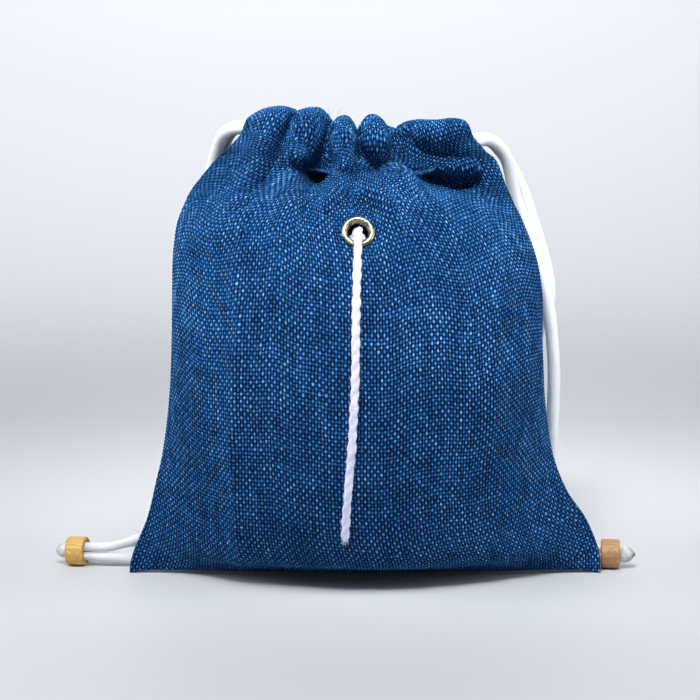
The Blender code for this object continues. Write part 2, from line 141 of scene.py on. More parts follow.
makeCamera()
makeStudio()
print("pouch: camera, lights and floor made")


# a new piece on its body, stood along a direction where it is turned
def linkMesh(name, points, faces, material, body, node=None, stand=None):
    mesh = bpy.data.meshes.new(name)
    mesh.from_pydata(np.asarray(points, float).tolist(), [], faces)
    mesh.shade_smooth()
    mesh.materials.append(material)
    piece = bpy.data.objects.new(name, mesh)
    bpy.context.scene.collection.objects.link(piece)
    if stand:
        piece.location = [value * mm for value in stand[0]]
        piece.rotation_mode = "QUATERNION"
        piece.rotation_quaternion = Vector(stand[1]).to_track_quat("Z", "Y")
        bpy.context.view_layer.update()
    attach(piece, body)
    if node:
        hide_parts(node)
    return piece


def smoothStep(value):
    value = np.clip(value, 0.0, 1.0)
    return value * value * (3.0 - 2.0 * value)


# points is (count, ...); the Catmull-Rom curve through them, steps samples a stretch
def splineThrough(points, steps):
    points = np.asarray(points, float)
    padded = np.concatenate([[2 * points[0] - points[1]], points, [2 * points[-1] - points[-2]]])
    shape = (steps,) + (1,) * (points.ndim - 1)
    t = (np.arange(steps) / steps).reshape(shape)
    parts = []
    for a, b, c, d in zip(padded, padded[1:], padded[2:], padded[3:]):
        parts.append(0.5 * (2 * b + (c - a) * t + (2 * a - 5 * b + 4 * c - d) * t**2
                            + (3 * b - a - 3 * c + d) * t**3))
    parts.append(points[-1:])
    return np.concatenate(parts)


# the same path with evenly spaced points
def evenPath(points, spacing):
    lengths = np.concatenate([[0.0], np.cumsum(np.linalg.norm(np.diff(points, axis=0), axis=1))])
    count = max(2, int(round(lengths[-1] / spacing)))
    goals = np.linspace(0.0, lengths[-1], count + 1)
    return np.stack([np.interp(goals, lengths, points[:, k]) for k in range(3)], 1), lengths[-1]


# a frame that turns as little as it can along the path
def frameAlong(path):
    tangents = np.gradient(path, axis=0)
    tangents /= np.linalg.norm(tangents, axis=1)[:, None]
    side = np.cross(tangents[0], (0.13, 0.21, 0.97))
    side /= np.linalg.norm(side)
    sides = []
    for tangent in tangents:
        side = side - tangent * side.dot(tangent)
        side /= np.linalg.norm(side)
        sides.append(side.copy())
    sides = np.array(sides)
    return tangents, sides, np.cross(tangents, sides)


# points and faces of a closed tube; radiusAt(angle, index) gives each ring's radii
def tubeMesh(path, sides, radiusAt):
    tangents, across, up = frameAlong(path)
    angles = np.arange(sides) * 2 * math.pi / sides
    radii = radiusAt(angles[None, :], np.arange(len(path))[:, None])
    rings = path[:, None] + radii[..., None] * (
        np.cos(angles)[None, :, None] * across[:, None] + np.sin(angles)[None, :, None] * up[:, None]
    )
    points = rings.reshape(-1, 3)
    faces = []
    for i in range(len(path) - 1):
        for k in range(sides):
            n = (k + 1) % sides
            faces.append((i * sides + k, i * sides + n, (i + 1) * sides + n, (i + 1) * sides + k))
    faces.append(tuple(range(sides))[::-1])
    faces.append(tuple((len(path) - 1) * sides + k for k in range(sides)))
    return points, faces


# short calls for the nodes of one finish
class Finish:
    def __init__(self, name):
        self.material = bpy.data.materials.new(name)
        self.material.use_nodes = True
        self.tree = self.material.node_tree
        self.shader = self.tree.nodes["Principled BSDF"]

    def add(self, kind, **settings):
        node = self.tree.nodes.new(kind)
        for key, value in settings.items():
            setattr(node, key, value)
        return node

    def put(self, node, socket, value):
        if isinstance(value, bpy.types.NodeSocket):
            self.tree.links.new(value, node.inputs[socket])
        else:
            node.inputs[socket].default_value = value

    def place(self):
        return self.add("ShaderNodeTexCoord").outputs["Object"]

    # the two coordinates of a named map
    def mapped(self, layer):
        split = self.add("ShaderNodeSeparateXYZ")
        self.put(split, 0, self.add("ShaderNodeUVMap", uv_map=layer).outputs[0])
        return split.outputs[0], split.outputs[1]

    def maths(self, operation, a, b=None, clamp=False):
        node = self.add("ShaderNodeMath", operation=operation, use_clamp=clamp)
        for number, value in enumerate((a, b)):
            if value is not None:
                self.put(node, number, value)
        return node.outputs[0]

    def times(self, a, b):
        return self.maths("MULTIPLY", a, b)

    def plus(self, a, b):
        return self.maths("ADD", a, b)

    def minus(self, a, b, clamp=False):
        return self.maths("SUBTRACT", a, b, clamp=clamp)

    def noise(self, vector, scale, detail=2.0, roughness=0.5, distortion=0.0):
        node = self.add("ShaderNodeTexNoise")
        self.put(node, "Vector", vector)
        self.put(node, "Scale", scale)
        self.put(node, "Detail", detail)
        self.put(node, "Roughness", roughness)
        self.put(node, "Distortion", distortion)
        return node.outputs["Fac"]

    def combine(self, x, y, z=0.0):
        node = self.add("ShaderNodeCombineXYZ")
        for number, value in enumerate((x, y, z)):
            self.put(node, number, value)
        return node.outputs[0]

    def ramp(self, value, stops):
        node = self.add("ShaderNodeValToRGB")
        self.put(node, "Fac", value)
        bar = node.color_ramp.elements
        while len(bar) < len(stops):
            bar.new(0.5)
        for mark, (place, colour) in zip(bar, stops):
            mark.position = place
            mark.color = (*colour, 1.0)
        return node.outputs["Color"]

    def mix(self, share, a, b, kind="RGBA", blend="MIX"):
        node = self.add("ShaderNodeMix", data_type=kind)
        if kind == "RGBA":
            node.blend_type = blend
            numbers, result = (6, 7), 2
        else:
            numbers, result = (2, 3), 0
        self.put(node, 0, share)
        for number, value in zip(numbers, (a, b)):
            self.put(node, number, value)
        return node.outputs[result]

    def bump(self, height, distance, strength=1.0):
        node = self.add("ShaderNodeBump")
        self.put(node, "Height", height)
        self.put(node, "Distance", distance)
        self.put(node, "Strength", strength)
        return node.outputs[0]

    # colour and relief go to the shader, with its plain values
    def done(self, colour, relief, values):
        self.put(self.shader, "Base Color", colour)
        if relief is not None:
            self.put(self.shader, "Normal", relief)
        for socket, value in values.items():
            self.put(self.shader, socket, value)
        return self.material


jute = {
    "weftPitch": 1.86 * mm,  # between threads up the cloth
    "warpWidth": 0.36,
    "weftWidth": 0.36,
    # the darkest stops are painted shade for the gaps and low threads, the lightest are painted highlights
    # on the float tops
    "shade": (0.0002, 0.0020, 0.0080),
    "deepToneAndShade": (0.0005, 0.0150, 0.0600),
    "body": (0.0020, 0.0580, 0.1900),
    "brightToneAndHighlight": (0.0480, 0.1850, 0.4250),
    "paintedGlint": (0.2600, 0.4600, 0.7200),
    "fleck": (0.34, 0.29, 0.20),
    "shader": {
        "Roughness": 0.72,
        "Specular IOR Level": 0.12,
        "Sheen Weight": 0.20,
        "Sheen Roughness": 0.45,
        "Sheen Tint": (0.10, 0.45, 0.95, 1.0),
    },
}


def juteMaterial():
    n = Finish("blueJute")
    u, v = n.mapped("flatCloth")  # counted in threads

    def spread(x, y, scaleX, scaleY, seed, detail=2.0, roughness=0.55):
        place = n.combine(n.times(x, scaleX), n.times(y, scaleY), seed)
        return n.noise(place, 1.0, detail, roughness)

    # threads wander from side to side
    shiftU = n.times(n.minus(spread(u, v, 0.30, 0.16, 1.0), 0.5), 0.9)
    shiftV = n.times(n.minus(spread(u, v, 0.16, 0.30, 7.0), 0.5), 0.9)
    wu, wv = n.plus(u, shiftU), n.plus(v, shiftV)
    cellU, cellV = n.maths("FLOOR", wu), n.maths("FLOOR", wv)
    du = n.minus(n.maths("FRACT", wu), 0.5)
    dv = n.minus(n.maths("FRACT", wv), 0.5)
    parity = n.maths("FLOORED_MODULO", n.plus(cellU, cellV), 2.0)
    over = n.minus(n.times(n.maths("GREATER_THAN", parity, 0.5), 2.0), 1.0)

    # each thread has its own tone and thickness, and slubs along it
    warpTone = spread(cellU, v, 3.71, 0.075, 1.7, 3.0, 0.65)
    weftTone = spread(u, cellV, 0.075, 4.13, 9.1, 3.0, 0.65)
    warpSlub = spread(cellU, v, 5.3, 0.22, 31.0, 1.0)
    weftSlub = spread(u, cellV, 0.22, 5.9, 37.0, 1.0)
    warpHalf = n.plus(0.17, n.times(warpSlub, jute["warpWidth"]))
    weftHalf = n.plus(0.12, n.times(weftSlub, jute["weftWidth"]))

    # how round a thread stands across its width, nothing outside it
    def strand(across, half):
        share = n.maths("POWER", n.maths("DIVIDE", n.maths("ABSOLUTE", across), half), 2.0)
        return n.maths("SQRT", n.minus(1.0, share, clamp=True))

    def lift(along, sign):
        wave = n.maths("COSINE", n.times(along, math.pi))
        return n.times(n.times(wave, sign), 0.5)

    warpRound, weftRound = strand(du, warpHalf), strand(dv, weftHalf)
    warpHeight = n.plus(n.plus(0.55, lift(dv, over)), n.times(warpRound, 0.45))
    weftHeight = n.minus(n.plus(0.55, n.times(weftRound, 0.45)), lift(du, over))
    warpHeight = n.times(warpHeight, n.maths("GREATER_THAN", warpRound, 0.02))
    weftHeight = n.times(weftHeight, n.maths("GREATER_THAN", weftRound, 0.02))
    warpShows = n.maths("GREATER_THAN", warpHeight, weftHeight)
    height = n.maths("MAXIMUM", warpHeight, weftHeight)

    # fibres run along each thread
    warpFibre = spread(u, v, 8.0, 1.4, 0.4, 3.0, 0.7)
    weftFibre = spread(u, v, 1.4, 8.0, 5.4, 3.0, 0.7)
    fibre = n.mix(warpShows, weftFibre, warpFibre, "FLOAT")
    tone = n.mix(warpShows, n.minus(weftTone, 0.20), n.plus(warpTone, 0.20), "FLOAT")
    patch = n.add("ShaderNodeTexWhiteNoise", noise_dimensions="3D")
    n.put(patch, "Vector", n.combine(cellU, cellV, 3.0))
    cloud = spread(u, v, 0.030, 0.045, 11.0, 3.0, 0.6)

    # painted light: the weave's height sets the colour, so low threads are painted in shade and float tops
    # with highlights; thread tone, fibres, patches and cloud add the cloth's own variation
    light = n.minus(n.times(height, 0.72), 0.33)
    for value, share in ((fibre, 0.65), (tone, 0.62), (patch.outputs[0], 0.12), (cloud, 0.30)):
        light = n.plus(light, n.times(n.minus(value, 0.5), share))
    # the gaps between the threads are painted near black, as painted shade
    light = n.times(light, n.maths("GREATER_THAN", height, 0.05))
    colour = n.ramp(light, [
        (0.12, jute["shade"]),
        (0.30, jute["deepToneAndShade"]),
        (0.52, jute["body"]),
        (0.82, jute["brightToneAndHighlight"]),
        (1.0, jute["paintedGlint"]),
    ])
    flecks = n.maths("GREATER_THAN", spread(u, v, 0.9, 1.3, 21.0, 1.0), 0.80)
    colour = n.mix(n.times(flecks, n.times(fibre, 0.7)), colour, (*jute["fleck"], 1.0))
    surface = n.plus(height, n.times(fibre, 0.30))
    return n.done(colour, n.bump(surface, 0.7 * mm), jute["shader"])


# heights, edges, depths and roundness of the cloth's courses, from the base to below the hem
bodyRows = [
    (0.0026, 0.0000, -0.1194, 0.1192, 0.0000, 0.0000, 2.6),
    (0.0032, 0.0045, -0.1191, 0.1189, 0.0070, 0.0120, 2.6),
    (0.0055, 0.0110, -0.1172, 0.1182, 0.0140, 0.0240, 2.6),
    (0.0100, 0.0200, -0.1135, 0.1150, 0.0290, 0.0360, 2.5),
    (0.0155, 0.0300, -0.1095, 0.1100, 0.0440, 0.0460, 2.3),
    (0.0280, 0.0440, -0.1055, 0.1000, 0.0515, 0.0530, 2.0),
    (0.0500, 0.0640, -0.1005, 0.0925, 0.0570, 0.0575, 1.5),
    (0.0800, 0.0900, -0.0970, 0.0885, 0.0595, 0.0590, 1.1),
    (0.1100, 0.1160, -0.0955, 0.0870, 0.0590, 0.0570, 1.0),
    (0.1390, 0.1410, -0.0950, 0.0868, 0.0550, 0.0530, 1.0),
    (0.1600, 0.1600, -0.0945, 0.0835, 0.0485, 0.0470, 1.0),
    (0.1770, 0.1760, -0.0925, 0.0775, 0.0400, 0.0395, 1.0),
    (0.1875, 0.1860, -0.0890, 0.0730, 0.0340, 0.0330, 0.9),
    (0.1950, 0.1945, -0.0845, 0.0690, 0.0275, 0.0270, 0.8),
]
channelLine = [(-0.057, 0.2200), (-0.033, 0.2160), (-0.004, 0.2115), (0.020, 0.2125), (0.048, 0.2190)]

cloth = {
    "thickness": 1.2 * mm,
    "relief": 0.28 * mm,  # how far each float stands out
    "warpThreads": 158,
    "middleFlat": 0.55,
    "setback": 11.0 * mm,
    "channelHalfWidth": 4.1 * mm,
    "channelHalfHeight": 7.8 * mm,
    "sagNoise": 1.1 * mm,
    "cut": (0.240, 0.295),  # each panel's flat size
    "shapingColumns": 641,
    "stepsPerCourse": 16,
    "innerStride": 5,  # the inner face takes one thread in five
}

# gathers along the hem: x, height of the crest, how far the fold stands out
frontGathers = [
    (-57.0, 230.5, 4.0),
    (-44.0, 235.5, 11.0),
    (-35.5, 231.5, 4.0),
    (-25.0, 235.0, 13.0),
    (-17.7, 224.5, 1.0),
    (-11.0, 231.0, 10.5),
    (-4.3, 220.2, 1.0),
    (3.5, 231.0, 12.0),
    (11.0, 222.8, 2.0),
    (14.5, 224.0, 4.5),
    (18.0, 223.6, 2.0),
    (30.0, 229.5, 12.0),
    (41.0, 230.0, 12.0),
    (48.0, 228.8, 6.0),
]
backGathers = [
    (-57.0, 229.6, 2.0),
    (-45.0, 231.0, 9.0),
    (-34.0, 227.0, 1.0),
    (-25.0, 228.5, 9.0),
    (-15.0, 223.2, 1.0),
    (-4.0, 221.2, 5.5),
    (6.0, 225.5, 9.5),
    (17.0, 222.2, 1.0),
    (30.0, 228.0, 10.0),
    (40.0, 228.4, 2.0),
    (48.0, 229.0, 1.0),
]

# soft folds below the hem: start x and z, end x and z, height (minus is a valley), width, all in mm
frontFolds = [
    (-17.6, 226.0, -20.5, 206.0, -15.0, 2.6),
    (-21.0, 206.0, -28.0, 197.0, -22.0, 5.0),
    (-31.0, 224.0, -28.0, 205.0, -4.0, 2.0),
    (-8.5, 215.0, -11.0, 192.0, 6.5, 5.5),
    (-3.8, 224.0, -2.5, 211.0, -13.0, 2.2),
    (1.0, 210.0, 9.0, 203.0, -12.0, 4.0),
    (11.0, 222.0, 12.5, 214.0, -10.0, 2.0),
    (12.0, 216.0, 26.0, 197.0, 6.5, 4.2),
    (26.0, 197.0, 39.0, 180.0, 4.5, 5.5),
    (22.0, 211.0, 44.0, 197.0, -25.0, 7.0),
    (40.0, 204.0, 54.0, 194.0, -16.0, 8.0),
    (50.0, 196.0, 70.0, 172.0, -6.0, 7.5),
    (-31.0, 228.0, -40.0, 200.0, 4.5, 5.0),
    (-34.5, 232.0, -47.0, 204.0, -6.0, 2.6),
    (-46.0, 226.0, -62.0, 188.0, 3.0, 7.0),
    (-42.0, 200.0, -54.0, 168.0, -3.5, 6.0),
    (-60.0, 218.0, -80.0, 182.0, -2.5, 6.0),
    (-24.0, 194.0, -33.0, 160.0, -3.0, 7.0),
]
backFolds = [
    (-34.0, 222.0, -40.0, 185.0, -8.0, 5.0),
    (-15.0, 220.0, -17.0, 188.0, -9.0, 4.5),
    (17.0, 219.0, 20.0, 185.0, -9.0, 5.0),
    (40.0, 218.0, 54.0, 180.0, -6.0, 6.0),
    (6.0, 224.0, 6.0, 180.0, 3.5, 6.0),
    (-25.0, 224.0, -28.0, 184.0, 3.5, 6.0),
    (30.0, 222.0, 36.0, 178.0, 3.5, 6.0),
]


# crest and fold at each x; valleys are narrow and the folds between them are round
def easedBetween(knots, x, sharp=0.72):
    xs = [k[0] for k in knots]
    at = np.clip(np.searchsorted(xs, x) - 1, 0, len(knots) - 2)
    low = np.array([k[1:] for k in knots])[at]
    high = np.array([k[1:] for k in knots])[at + 1]
    start, end = np.array(xs)[at], np.array(xs)[at + 1]
    t = np.clip((x - start) / (end - start), 0.0, 1.0)
    rising = high[:, 1] > low[:, 1]
    share = np.where(rising, np.sin(t * math.pi / 2) ** sharp, 1 - np.cos(t * math.pi / 2) ** sharp)
    return low + (high - low) * share[:, None]


def channelHeight(x):
    xs = [k[0] for k in channelLine]
    zs = [k[1] for k in channelLine]
    at = np.clip(np.searchsorted(xs, x) - 1, 0, len(xs) - 2)
    t = (x - np.array(xs)[at]) / (np.array(xs)[at + 1] - np.array(xs)[at])
    return np.array(zs)[at] + (np.array(zs)[at + 1] - np.array(zs)[at]) * smoothStep(t)


# one course of the cloth's inner face; column runs from -1 to 1
def bodyCourse(row, column, back):
    middleZ, sideZ, left, right, frontDepth, backDepth, roundness = row
    depth = backDepth if back else frontDepth
    angle = column * math.pi / 2
    centre, half = (left + right) / 2, (right - left) / 2
    spread = float(smoothStep(np.float64((middleZ - 0.170) / 0.030)))
    across = np.sin(angle) * (1 - spread) + column * spread
    away = smoothStep((np.abs(column) - cloth["middleFlat"]) / (1 - cloth["middleFlat"]))
    swell = np.maximum(np.cos(angle), 0.0) ** roundness
    x = centre + half * across
    return np.stack([x, -0.0002 - depth * swell, middleZ + (sideZ - middleZ) * away], 1)


# the folded hem's inner face, from the stitching line up, over and down inside
def hemCourses(column, gathers):
    left, right = channelLine[0][0], channelLine[-1][0]
    middle = (left + right) / 2
    x = middle + (right - left) / 2 * column
    crest, fold = (easedBetween(gathers, x * 1000) * mm).T
    top, width = cloth["channelHalfHeight"], cloth["channelHalfWidth"]
    rise = np.maximum(crest - 0.0016 - top - channelHeight(x), 0.0)
    end = np.abs(column) ** 6
    offsets = [
        (1.29, (-width - 0.0040 - 0.5 * fold) * (1 - end) + 0.0040 * end, -0.0105),
        (1.18, (-width - 0.0020 - 0.8 * fold) * (1 - end) - 0.0030 * end, -0.0050),
        (1.07, -width - fold * (1 - 0.6 * end), 0.0005),
        (1.02, -width - 0.85 * fold, 0.0055 + 0.5 * rise),
        (0.98, -0.7 * width - 0.45 * fold, top + 0.82 * rise),
        (0.92, 0.0, top + rise),
        (0.80, 0.75 * width, top + 0.75 * rise),
        (0.71, width, 0.0045 + 0.3 * rise),
        (0.70, width, -0.0035),
        (0.70, 0.55 * width, -0.0088),
        (0.72, -width - 0.0028, -0.0102),
    ]
    courses = []
    for spread, dy, dz in offsets:
        spreadX = middle + (x - middle) * spread
        courses.append(np.stack([
            spreadX,
            -cloth["setback"] + np.broadcast_to(dy, x.shape),
            channelHeight(spreadX) + dz,
        ], 1))
    return courses


def gridNormals(grid):
    across = np.gradient(grid, axis=1)
    along = np.gradient(grid, axis=0)
    normal = np.cross(across, along)
    return normal / np.maximum(np.linalg.norm(normal, axis=2), 1e-12)[..., None]


# a smooth wandering value between about -1 and 1
def softNoise(x, z, seed):
    total = 0.0
    for k in range(1, 6):
        a = math.sin(seed * 12.9898 + k * 78.233) * 43758.5453
        b = math.sin(seed * 39.346 + k * 11.135) * 24634.6345
        turn = (a - math.floor(a)) * 2 * math.pi
        phase = (b - math.floor(b)) * 2 * math.pi
        scale = 35 + 22 * k
        total = total + np.sin((x * math.cos(turn) + z * math.sin(turn)) * scale + phase) / k**0.7
    return total / 2.6


def panelCourses(gathers, back, columns):
    column = np.linspace(-1.0, 1.0, columns)
    rows = []
    left, right = channelLine[0][0], channelLine[-1][0]
    for row in bodyRows:
        line = bodyCourse(row, column, back)
        near = float(smoothStep(np.float64((row[0] - 0.150) / 0.060)))
        share = (line[:, 0] - row[2]) / (row[3] - row[2])
        fold = easedBetween(gathers, (left + (right - left) * share) * 1000)[:, 1] * mm
        ends = np.maximum(np.cos(column * math.pi / 2), 0.0) ** 0.5
        line[:, 1] -= (fold - 0.002) * near * ends
        rows.append(line)
    rows += hemCourses(column, gathers)
    return np.array(rows)


# pushes soft ridges and valleys into the cloth below the hem
def applyFolds(grid, folds, hemStart):
    x, z = grid[..., 0] * 1000, grid[..., 2] * 1000
    move = np.zeros(grid.shape[:2])
    for x0, z0, x1, z1, height, width in folds:
        dx, dz = x1 - x0, z1 - z0
        t = np.clip(((x - x0) * dx + (z - z0) * dz) / (dx * dx + dz * dz), -0.15, 1.25)
        away = np.hypot(x - x0 - t * dx, z - z0 - t * dz)
        wide = width * (1 + 0.9 * np.clip(t, 0, 1.3))
        fade = smoothStep((1.25 - t) / 0.9)
        move += height * mm * np.exp(-(away / wide) ** 2) * fade
    move[hemStart:] = 0.0
    return grid + np.array((0.0, -1.0, 0.10)) * move[..., None]


# a pressed crease that runs up the cloth at about x0
def creaseAt(grid, x0, z0, z1, height, width, lean=0.0):
    normal = gridNormals(grid)
    x, z = grid[..., 0] * 1000, grid[..., 2] * 1000
    line = x0 + lean * (z - 100) + 1.2 * np.sin(z / 17.0) + 0.6 * np.sin(z / 6.3)
    span = smoothStep((z - z0) / 25.0) * smoothStep((z1 - z) / 25.0)
    ridge = np.exp(-np.abs((x - line) / width) ** 1.3) * span
    return grid + normal * (ridge * height * mm)[..., None]


eyeletSpot = {
    "centre": (-4.0, -40.17, 174.96),  # mm, on the cloth's inner face
    "outward": (0.077, -0.874, 0.480),
    "flat": 10.0,
    "cut": 6.2,  # radius of the hole in the cloth, under the flange
}


# height and distance of points from the eyelet's own axis
def eyeletAway(points):
    outward = np.array(eyeletSpot["outward"])
    outward = outward / np.linalg.norm(outward)
    away = points - np.array(eyeletSpot["centre"]) * mm
    height = away @ outward
    flat = away - height[..., None] * outward
    return outward, height, flat, np.linalg.norm(flat, axis=-1)


def pressEyelet(grid, bodyPart):
    outward, height, flat, radius = eyeletAway(grid)
    near = (np.hypot(radius, height) < 0.04) * bodyPart
    share = (1 - smoothStep((radius / mm - eyeletSpot["flat"]) / 11.0)) * near
    return grid - outward * (height * share)[..., None]


# points of the curve's first axis at the given places, one set a column
def takeAt(curve, places):
    low = np.clip(places.astype(int), 0, len(curve) - 2)
    share = (places - low)[..., None]
    columns = np.arange(curve.shape[1])[None]
    return curve[low, columns] * (1 - share) + curve[low + 1, columns] * share


# length of each column of the curve up to each row
def runAlong(curve):
    steps = np.linalg.norm(np.diff(curve, axis=0), axis=2)
    return np.concatenate([np.zeros((1, curve.shape[1])), np.cumsum(steps, axis=0)])


# a running mean down the columns
def softened(places, width):
    kernel = np.ones(2 * width + 1) / (2 * width + 1)
    padded = np.pad(places, ((width, width), (0, 0)), mode="edge")
    return np.stack([np.convolve(padded[:, k], kernel, "valid") for k in range(places.shape[1])], 1)


# moves the columns along each course until the threads are evenly spaced
def evenColumns(curve, columns):
    turned = curve.transpose(1, 0, 2)
    run = runAlong(turned)
    count = len(turned)
    even = np.linspace(0.0, 1.0, columns)
    places = np.stack([np.interp(even, r / r[-1], np.arange(count)) for r in run.T], 1)
    return takeAt(turned, softened(places.T, 10).T).transpose(1, 0, 2)


# evenly spaced courses: close together where they show, further apart inside the hem
def evenRows(curve, seen):
    run = runAlong(curve)
    rowStep = jute["weftPitch"] / 2
    fine = int(round(run[seen].mean() / rowStep / 2)) * 2
    coarse = int(round((run[-1] - run[seen]).mean() / rowStep / 3))
    places = []
    for r in run.T:
        goals = np.concatenate([
            np.linspace(0, r[seen], fine + 1),
            np.linspace(r[seen], r[-1], coarse + 1)[1:],
        ])
        places.append(np.interp(goals, r, np.arange(len(r))))
    places = softened(np.array(places), 6)
    places = (0.55 * places.mean(0) + 0.45 * places).T
    flatV = np.concatenate([np.arange(fine + 1), fine + 3 * np.arange(1, coarse + 1)]) / 2
    return takeAt(curve, places), flatV, places.mean(1)


# leans, folds, sags and creases the cloth before its threads are laid along it
def shapeCloth(curve, folds, back, hemStart, foldStart):
    x, z = curve[..., 0], curve[..., 2]
    high = smoothStep((z - 0.190) / 0.035)
    side = np.abs(np.linspace(-1, 1, curve.shape[1]))
    edge = smoothStep((1 - side) / 0.12)[None]
    seed = 5 if back else 2
    curve = curve + np.stack([
        softNoise(x * 1.5, z * 1.5, seed) * 1.2 * mm * high * edge,
        softNoise(x * 2.2, z * 1.5, seed + 1) * 0.8 * mm * high * edge,
        softNoise(x * 1.8, z * 1.2, seed + 2) * 0.9 * mm * high * edge,
    ], -1)
    curve = applyFolds(curve, folds, hemStart)
    # a valley ends where the cloth meets the cords in their channel
    z = curve[..., 2]
    wall = np.interp(z, (0.196, 0.2015, 0.2050, 0.2235, 0.2275), (-0.002, -0.003, -0.0153, -0.0153, -0.006))
    front = (np.arange(len(curve)) < hemStart)[:, None] & (side < 0.86)[None] & (z > 0.170) & (z < 0.232)
    curve[..., 1] -= np.where(front, np.maximum(curve[..., 1] - wall, 0.0), 0.0)
    bodyPart = (np.arange(len(curve)) < foldStart).astype(float)[:, None] * np.ones(curve.shape[1])[None]
    x, z = curve[..., 0], curve[..., 2]
    lift = smoothStep((z - 0.004) / 0.02) * edge
    wave = softNoise(x, z, 3 if back else 1) + 0.45 * softNoise(x * 2.6, z * 2.1, 9)
    curve = curve + gridNormals(curve) * (wave * cloth["sagNoise"] * lift * bodyPart)[..., None]
    curve = creaseAt(curve, -61.0, 2, 205, 3.0, 6.5, lean=0.012)
    if not back:
        curve = creaseAt(curve, 60.0, 6, 195, 1.8, 7.0, lean=-0.02)
        curve = pressEyelet(curve, bodyPart)
    return curve


def makePanel(name, node, gathers, folds, back, material):
    columns = cloth["warpThreads"] * 2 + 1
    steps, bodyCount = cloth["stepsPerCourse"], len(bodyRows)
    curve = splineThrough(panelCourses(gathers, back, cloth["shapingColumns"]), steps)
    curve = shapeCloth(curve, folds, back, steps * (bodyCount + 4), steps * (bodyCount + 3))
    grid, flatV, index = evenRows(evenColumns(curve, columns), steps * (bodyCount + 7))
    if not back:
        outside = (index < steps * (bodyCount + 3)).astype(float)
        grid = pressEyelet(grid, outside[:, None] * np.ones(columns)[None])

    normal = gridNormals(grid)
    i = np.arange(len(grid))[:, None]
    k = np.arange(columns)[None]
    crown = np.where((i % 2 == 1) & (k % 2 == 1), 1.0, np.where((i % 2 == 0) & (k % 2 == 0), -1.0, -0.1))
    outer = grid + normal * (cloth["thickness"] + cloth["relief"] * crown)[..., None]
    inner = grid
    if back:
        outer = outer * (1, -1, 1)
        inner = inner * (1, -1, 1)
    return buildShell(name, node, outer, inner, flatV, material, back)


# moves the points inside the eyelet's hole out to its edge, and says which they were
def openHole(grid, radius):
    outward, height, flat, away = eyeletAway(grid)
    inside = (away < radius) & (np.abs(height) < 4 * mm)
    push = np.where(inside, radius / np.maximum(away, 1e-6), 1.0)
    return grid + flat * (push - 1)[..., None], inside


# closed cloth: a fine outer face, a coarse inner face and a rim between them
def buildShell(name, node, outer, inner, flatV, material, flip):
    rows, columns = outer.shape[:2]
    stride = cloth["innerStride"]
    rowMarks = list(range(0, rows - 1, stride)) + [rows - 1]
    colMarks = list(range(0, columns - 1, stride)) + [columns - 1]
    coarse = inner[np.ix_(rowMarks, colMarks)]
    holeOut = holeIn = None
    if not flip:
        outer, holeOut = openHole(outer, eyeletSpot["cut"] * mm)
        coarse, holeIn = openHole(coarse, (eyeletSpot["cut"] + 0.4) * mm)
    points = np.concatenate([outer.reshape(-1, 3), coarse.reshape(-1, 3)])
    base = rows * columns
    width = len(colMarks)
    faces = []
    for i in range(rows - 1):
        for k in range(columns - 1):
            if holeOut is not None and holeOut[i:i + 2, k:k + 2].all():
                continue
            a = i * columns + k
            faces.append((a, a + 1, a + 1 + columns, a + columns))
    for i in range(len(rowMarks) - 1):
        for k in range(width - 1):
            if holeIn is not None and holeIn[i:i + 2, k:k + 2].all():
                continue
            a = base + i * width + k
            faces.append((a, a + width, a + width + 1, a + 1))
    for k in range(width - 1):
        run = list(range(colMarks[k], colMarks[k + 1] + 1))
        faces.append((*run[::-1], base + k, base + k + 1))
        top = (rows - 1) * columns
        inTop = base + (len(rowMarks) - 1) * width
        faces.append((*[top + r for r in run], inTop + k + 1, inTop + k))
    for i in range(len(rowMarks) - 1):
        run = [r * columns for r in range(rowMarks[i], rowMarks[i + 1] + 1)]
        faces.append((*run, base + (i + 1) * width, base + i * width))
        run = [r + columns - 1 for r in run]
        faces.append((*run[::-1], base + i * width + width - 1, base + (i + 1) * width + width - 1))
    if flip:
        faces = [f[::-1] for f in faces]
    used = np.zeros(len(points), bool)
    used[np.fromiter((v for f in faces for v in f), int)] = True
    number = (np.cumsum(used) - 1).tolist()
    faces = [tuple(number[v] for v in f) for f in faces]
    panel = linkMesh(name, points[used], faces, material, "pouch", node)
    mesh = panel.data
    # flat cloth coordinates, counted in threads
    flat = np.concatenate([
        np.stack([np.tile(np.arange(columns) / 2.0, rows), np.repeat(flatV, columns)], 1),
        np.stack([np.tile(np.array(colMarks) / 2.0, len(rowMarks)), np.repeat(flatV[rowMarks], width)], 1),
    ])[used]
    corner = np.empty(len(mesh.loops), dtype=np.int32)
    mesh.loops.foreach_get("vertex_index", corner)
    layer = mesh.uv_layers.new(name="flatCloth")
    layer.uv.foreach_set("vector", flat[corner].astype(np.float32).ravel())
    return outer


blueJute = juteMaterial()
frontFace = makePanel("frontCloth", "front_panel", frontGathers, frontFolds, False, blueJute)
backFace = makePanel("backCloth", "back_panel", backGathers, backFolds, True, blueJute)
print("pouch: cloth made")

